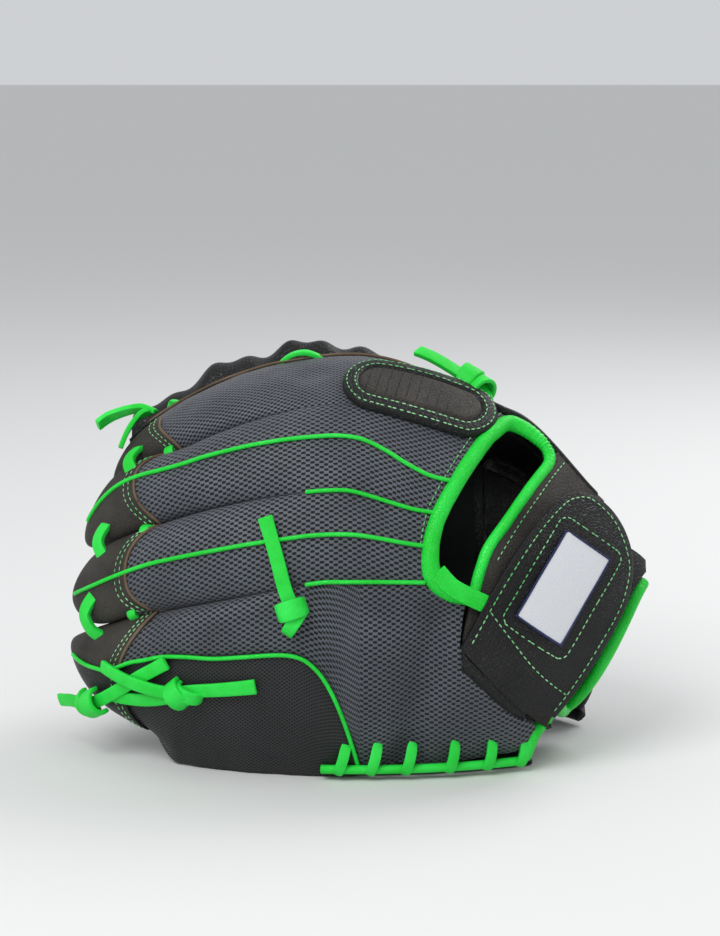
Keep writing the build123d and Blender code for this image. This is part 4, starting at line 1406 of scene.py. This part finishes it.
stall = weld(panel("thumb_stall", 64, 90, stall_place))
modify(stall, "SOLIDIFY", thickness=0.003, offset=-1)
seat(stall, THUMB, BLACK, "thumb_back_panel", "thumb_palm_panel", "thumb_edge_wall", "thumb_web_wall",
     "thumb_lining", fill=0.85)


def thumb_tip_place(u, v):
    return stall_section(-78 - 34 * math.sin(u * math.pi / 2), 360 * v, 0.9)


def round_thumb(x, lift):
    """A path once round the thumb."""
    return smooth_path([(x, 360 * k / 32, lift) for k in range(33)])


cap = weld(panel("thumb_tip", 64, 40, thumb_tip_place))
modify(cap, "SOLIDIFY", thickness=0.0016, offset=-1)
seat(cap, THUMB, CHARCOAL, "thumb_tip_cap")
seat(tube("thumb_tip_edge", round_thumb(-78.2, 0.5), 0.8, 90, 8, spot=stall_section), THUMB, TAN)
for number, x in enumerate((-81.5, -84)):
    row(f"thumb_tip_stitches_{number}", round_thumb(x, 1.1), 3.2, (1.15, 0.36, 0.25), stall_section, THUMB)
for number, turn in enumerate((16, 24, 156)):
    run = smooth_path([(x, turn, 0.1) for x in range(-74, 56, 12)])
    row(f"thumb_stitches_{number}", run, 3.8, (1.3, 0.38, 0.3), stall_section, THUMB)
print("thumb made")

# %% [markdown]
# ### The web and the crotch
# Both are one kind of sheet: it leaves the index finger's edge, dips into the fold and rises over to
# the thumb. The web stands higher and waves at its free edge, and the crotch lies close.

# %% Web and crotch
FOLD_BEND = [(0, (FOLD_Y + reach + SHIFT.y) / 1000, 0.165) for reach in (-5, 7)]


def fold_sheet(x, v, lift):
    """A sheet from the index edge down into the fold and up over to the thumb, for v from 0 to 1."""
    crest_z = dome(x, 103).z - SHIFT.z
    edge = dome(x, index_edge(x) - 0.3, -1.5)
    bottom = Vector((x, FOLD_Y + 1.0, min(FOLD_Z + 6, crest_z - 7))) + SHIFT
    rise = ((98, -7.5), (104, -0.5), (110, 1), (117, 0.5), (126, -0.8))
    over = [dome(x, a, lift + extra) for a, extra in rise]
    run = [edge, (edge + bottom) / 2 + Vector((0, 1.2, 1.5)), bottom] + over
    return Vector(smooth_path([tuple(p) for p in run])(v))


def wave(x, v):
    """The slack of a free edge."""
    return (2.4 * math.sin(x / 6.5) + 1.6 * math.sin(x / 3.1 + 1)) * math.sin(math.pi * v) ** 2


def web_place(u, v):
    x = -116 + 90 * u
    return fold_sheet(x, v, 11.0 + wave(x, v))


def crotch_place(u, v):
    x = -26.5 + 84.5 * u
    return fold_sheet(x, v, 0.6 + (10.4 + wave(x, v)) * (1 - ease((x + 26.5) / 62)))


web = panel("web_sheet", 60, 90, web_place, thick=3.2, bevel=0.8)
bend(web, *FOLD_BEND, THUMB, BLACK, "web_panel")
crotch = panel("crotch_sheet", 60, 80, crotch_place, thick=3.5, bevel=0.8)
bend(crotch, *FOLD_BEND, THUMB, BLACK, "thumb_crotch_back")
print("web and crotch hung")

# %% [markdown]
# ### The palm of the crotch, and the bar of the web
# Under the crotch a second sheet closes the palm side. A bar of leather runs down the web with a row
# of thread along both edges, and green laces hold both to the thumb.

# %% Bar and lacing


def crotch_palm_place(u, v):
    x = -27 + 85 * u
    start = Vector((x, FOLD_Y + 4.6, min(FOLD_Z - 7, dome(x, 103).z - SHIFT.z - 12))) + SHIFT
    run = [start, start + Vector((0, 6, -6)), dome(x, 115, -23), dome(x, 120, -23.4), dome(x, 126, -23)]
    return Vector(smooth_path([tuple(p) for p in run])(v))


def bar_place(u, v):
    return dome(-112 + 81 * u, 112 + 8 * v, 13.0 + 0.8 * math.sin(math.pi * v))


crotch_palm = panel("crotch_palm_sheet", 30, 60, crotch_palm_place, thick=3.0, bevel=0.7)
seat(crotch_palm, THUMB, PALM, "thumb_crotch_palm")
seat(panel("web_strap", 12, 60, bar_place, thick=3.0, bevel=0.9), THUMB, BLACK, "web_bar")
web_course = [(x, 122.5, 10.0 + 1.4 * (k % 2)) for k, x in enumerate(range(-112, -30, 9))]
green(lace("web_lacing", web_course, 6.0), "web_lace", body=THUMB)
crotch_course = [(x, 110, 3.4) for x in (-18, -8, 2, 10)]
green(lace("thumb_crotch_lacing", crotch_course), "thumb_crotch_lace", body=THUMB)
for number, angle in enumerate((113.0, 119.0)):
    run = smooth_path([(x, angle, 13.8) for x in range(-110, -32, 12)])
    row(f"web_strap_stitches_{number}", run, 3.6, (1.3, 0.38, 0.3), dome, THUMB)
print("web made")

# %% [markdown]
# ## Floor, light and camera
# A pale floor and two soft lamps with an even world show the black leather without hiding its grain.
# The camera looks a little down on the back of the glove, from far enough off to keep its shape.

# %% Stage
bpy.ops.mesh.primitive_plane_add(size=60, location=(0, 0, 0))
floor = fresh("floor")
pale, tree, surface, coords = blank("pale_floor")
surface.inputs["Base Color"].default_value = (0.72, 0.72, 0.71, 1)
surface.inputs["Roughness"].default_value = 0.8
floor.data.materials.append(pale)

world = bpy.data.worlds.new("studio")
bpy.context.scene.world = world
world.use_nodes = True
world.node_tree.nodes["Background"].inputs["Color"].default_value = (0.82, 0.84, 0.87, 1)
world.node_tree.nodes["Background"].inputs["Strength"].default_value = 0.75
for name, spot, size, power in (("key", (-0.7, -1.0, 1.3), 1.0, 17), ("rim", (0.9, 0.8, 1.2), 0.9, 12)):
    bpy.ops.object.light_add(type="AREA", location=spot)
    lamp = bpy.context.active_object
    lamp.name = name
    lamp.data.size = size
    lamp.data.energy = power
    lamp.rotation_euler = (Vector((0, 0, 0.08)) - Vector(spot)).to_track_quat("-Z", "Y").to_euler()

bpy.ops.object.camera_add(location=(0.0006, -1.1607, 0.3392), rotation=(math.radians(80.14), 0, 0))
camera = bpy.context.active_object
camera.data.lens = 90.6
camera.data.sensor_width = 36
bpy.context.scene.camera = camera
bpy.context.scene.view_settings.view_transform = "Standard"
print("stage set")

# %% [markdown]
# ## Sizes
# Last, the box round everything modelled here is measured and printed.

# %% Sizes, and the end
low, high = [1e9] * 3, [-1e9] * 3
for obj in bpy.data.objects:
    if obj.type == "MESH" and obj != floor and "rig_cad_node" not in obj:
        for v in obj.data.vertices:
            low = [min(a, b) for a, b in zip(low, v.co)]
            high = [max(a, b) for a, b in zip(high, v.co)]
print("visual box", [round(1000 * v, 1) for v in low], [round(1000 * v, 1) for v in high])
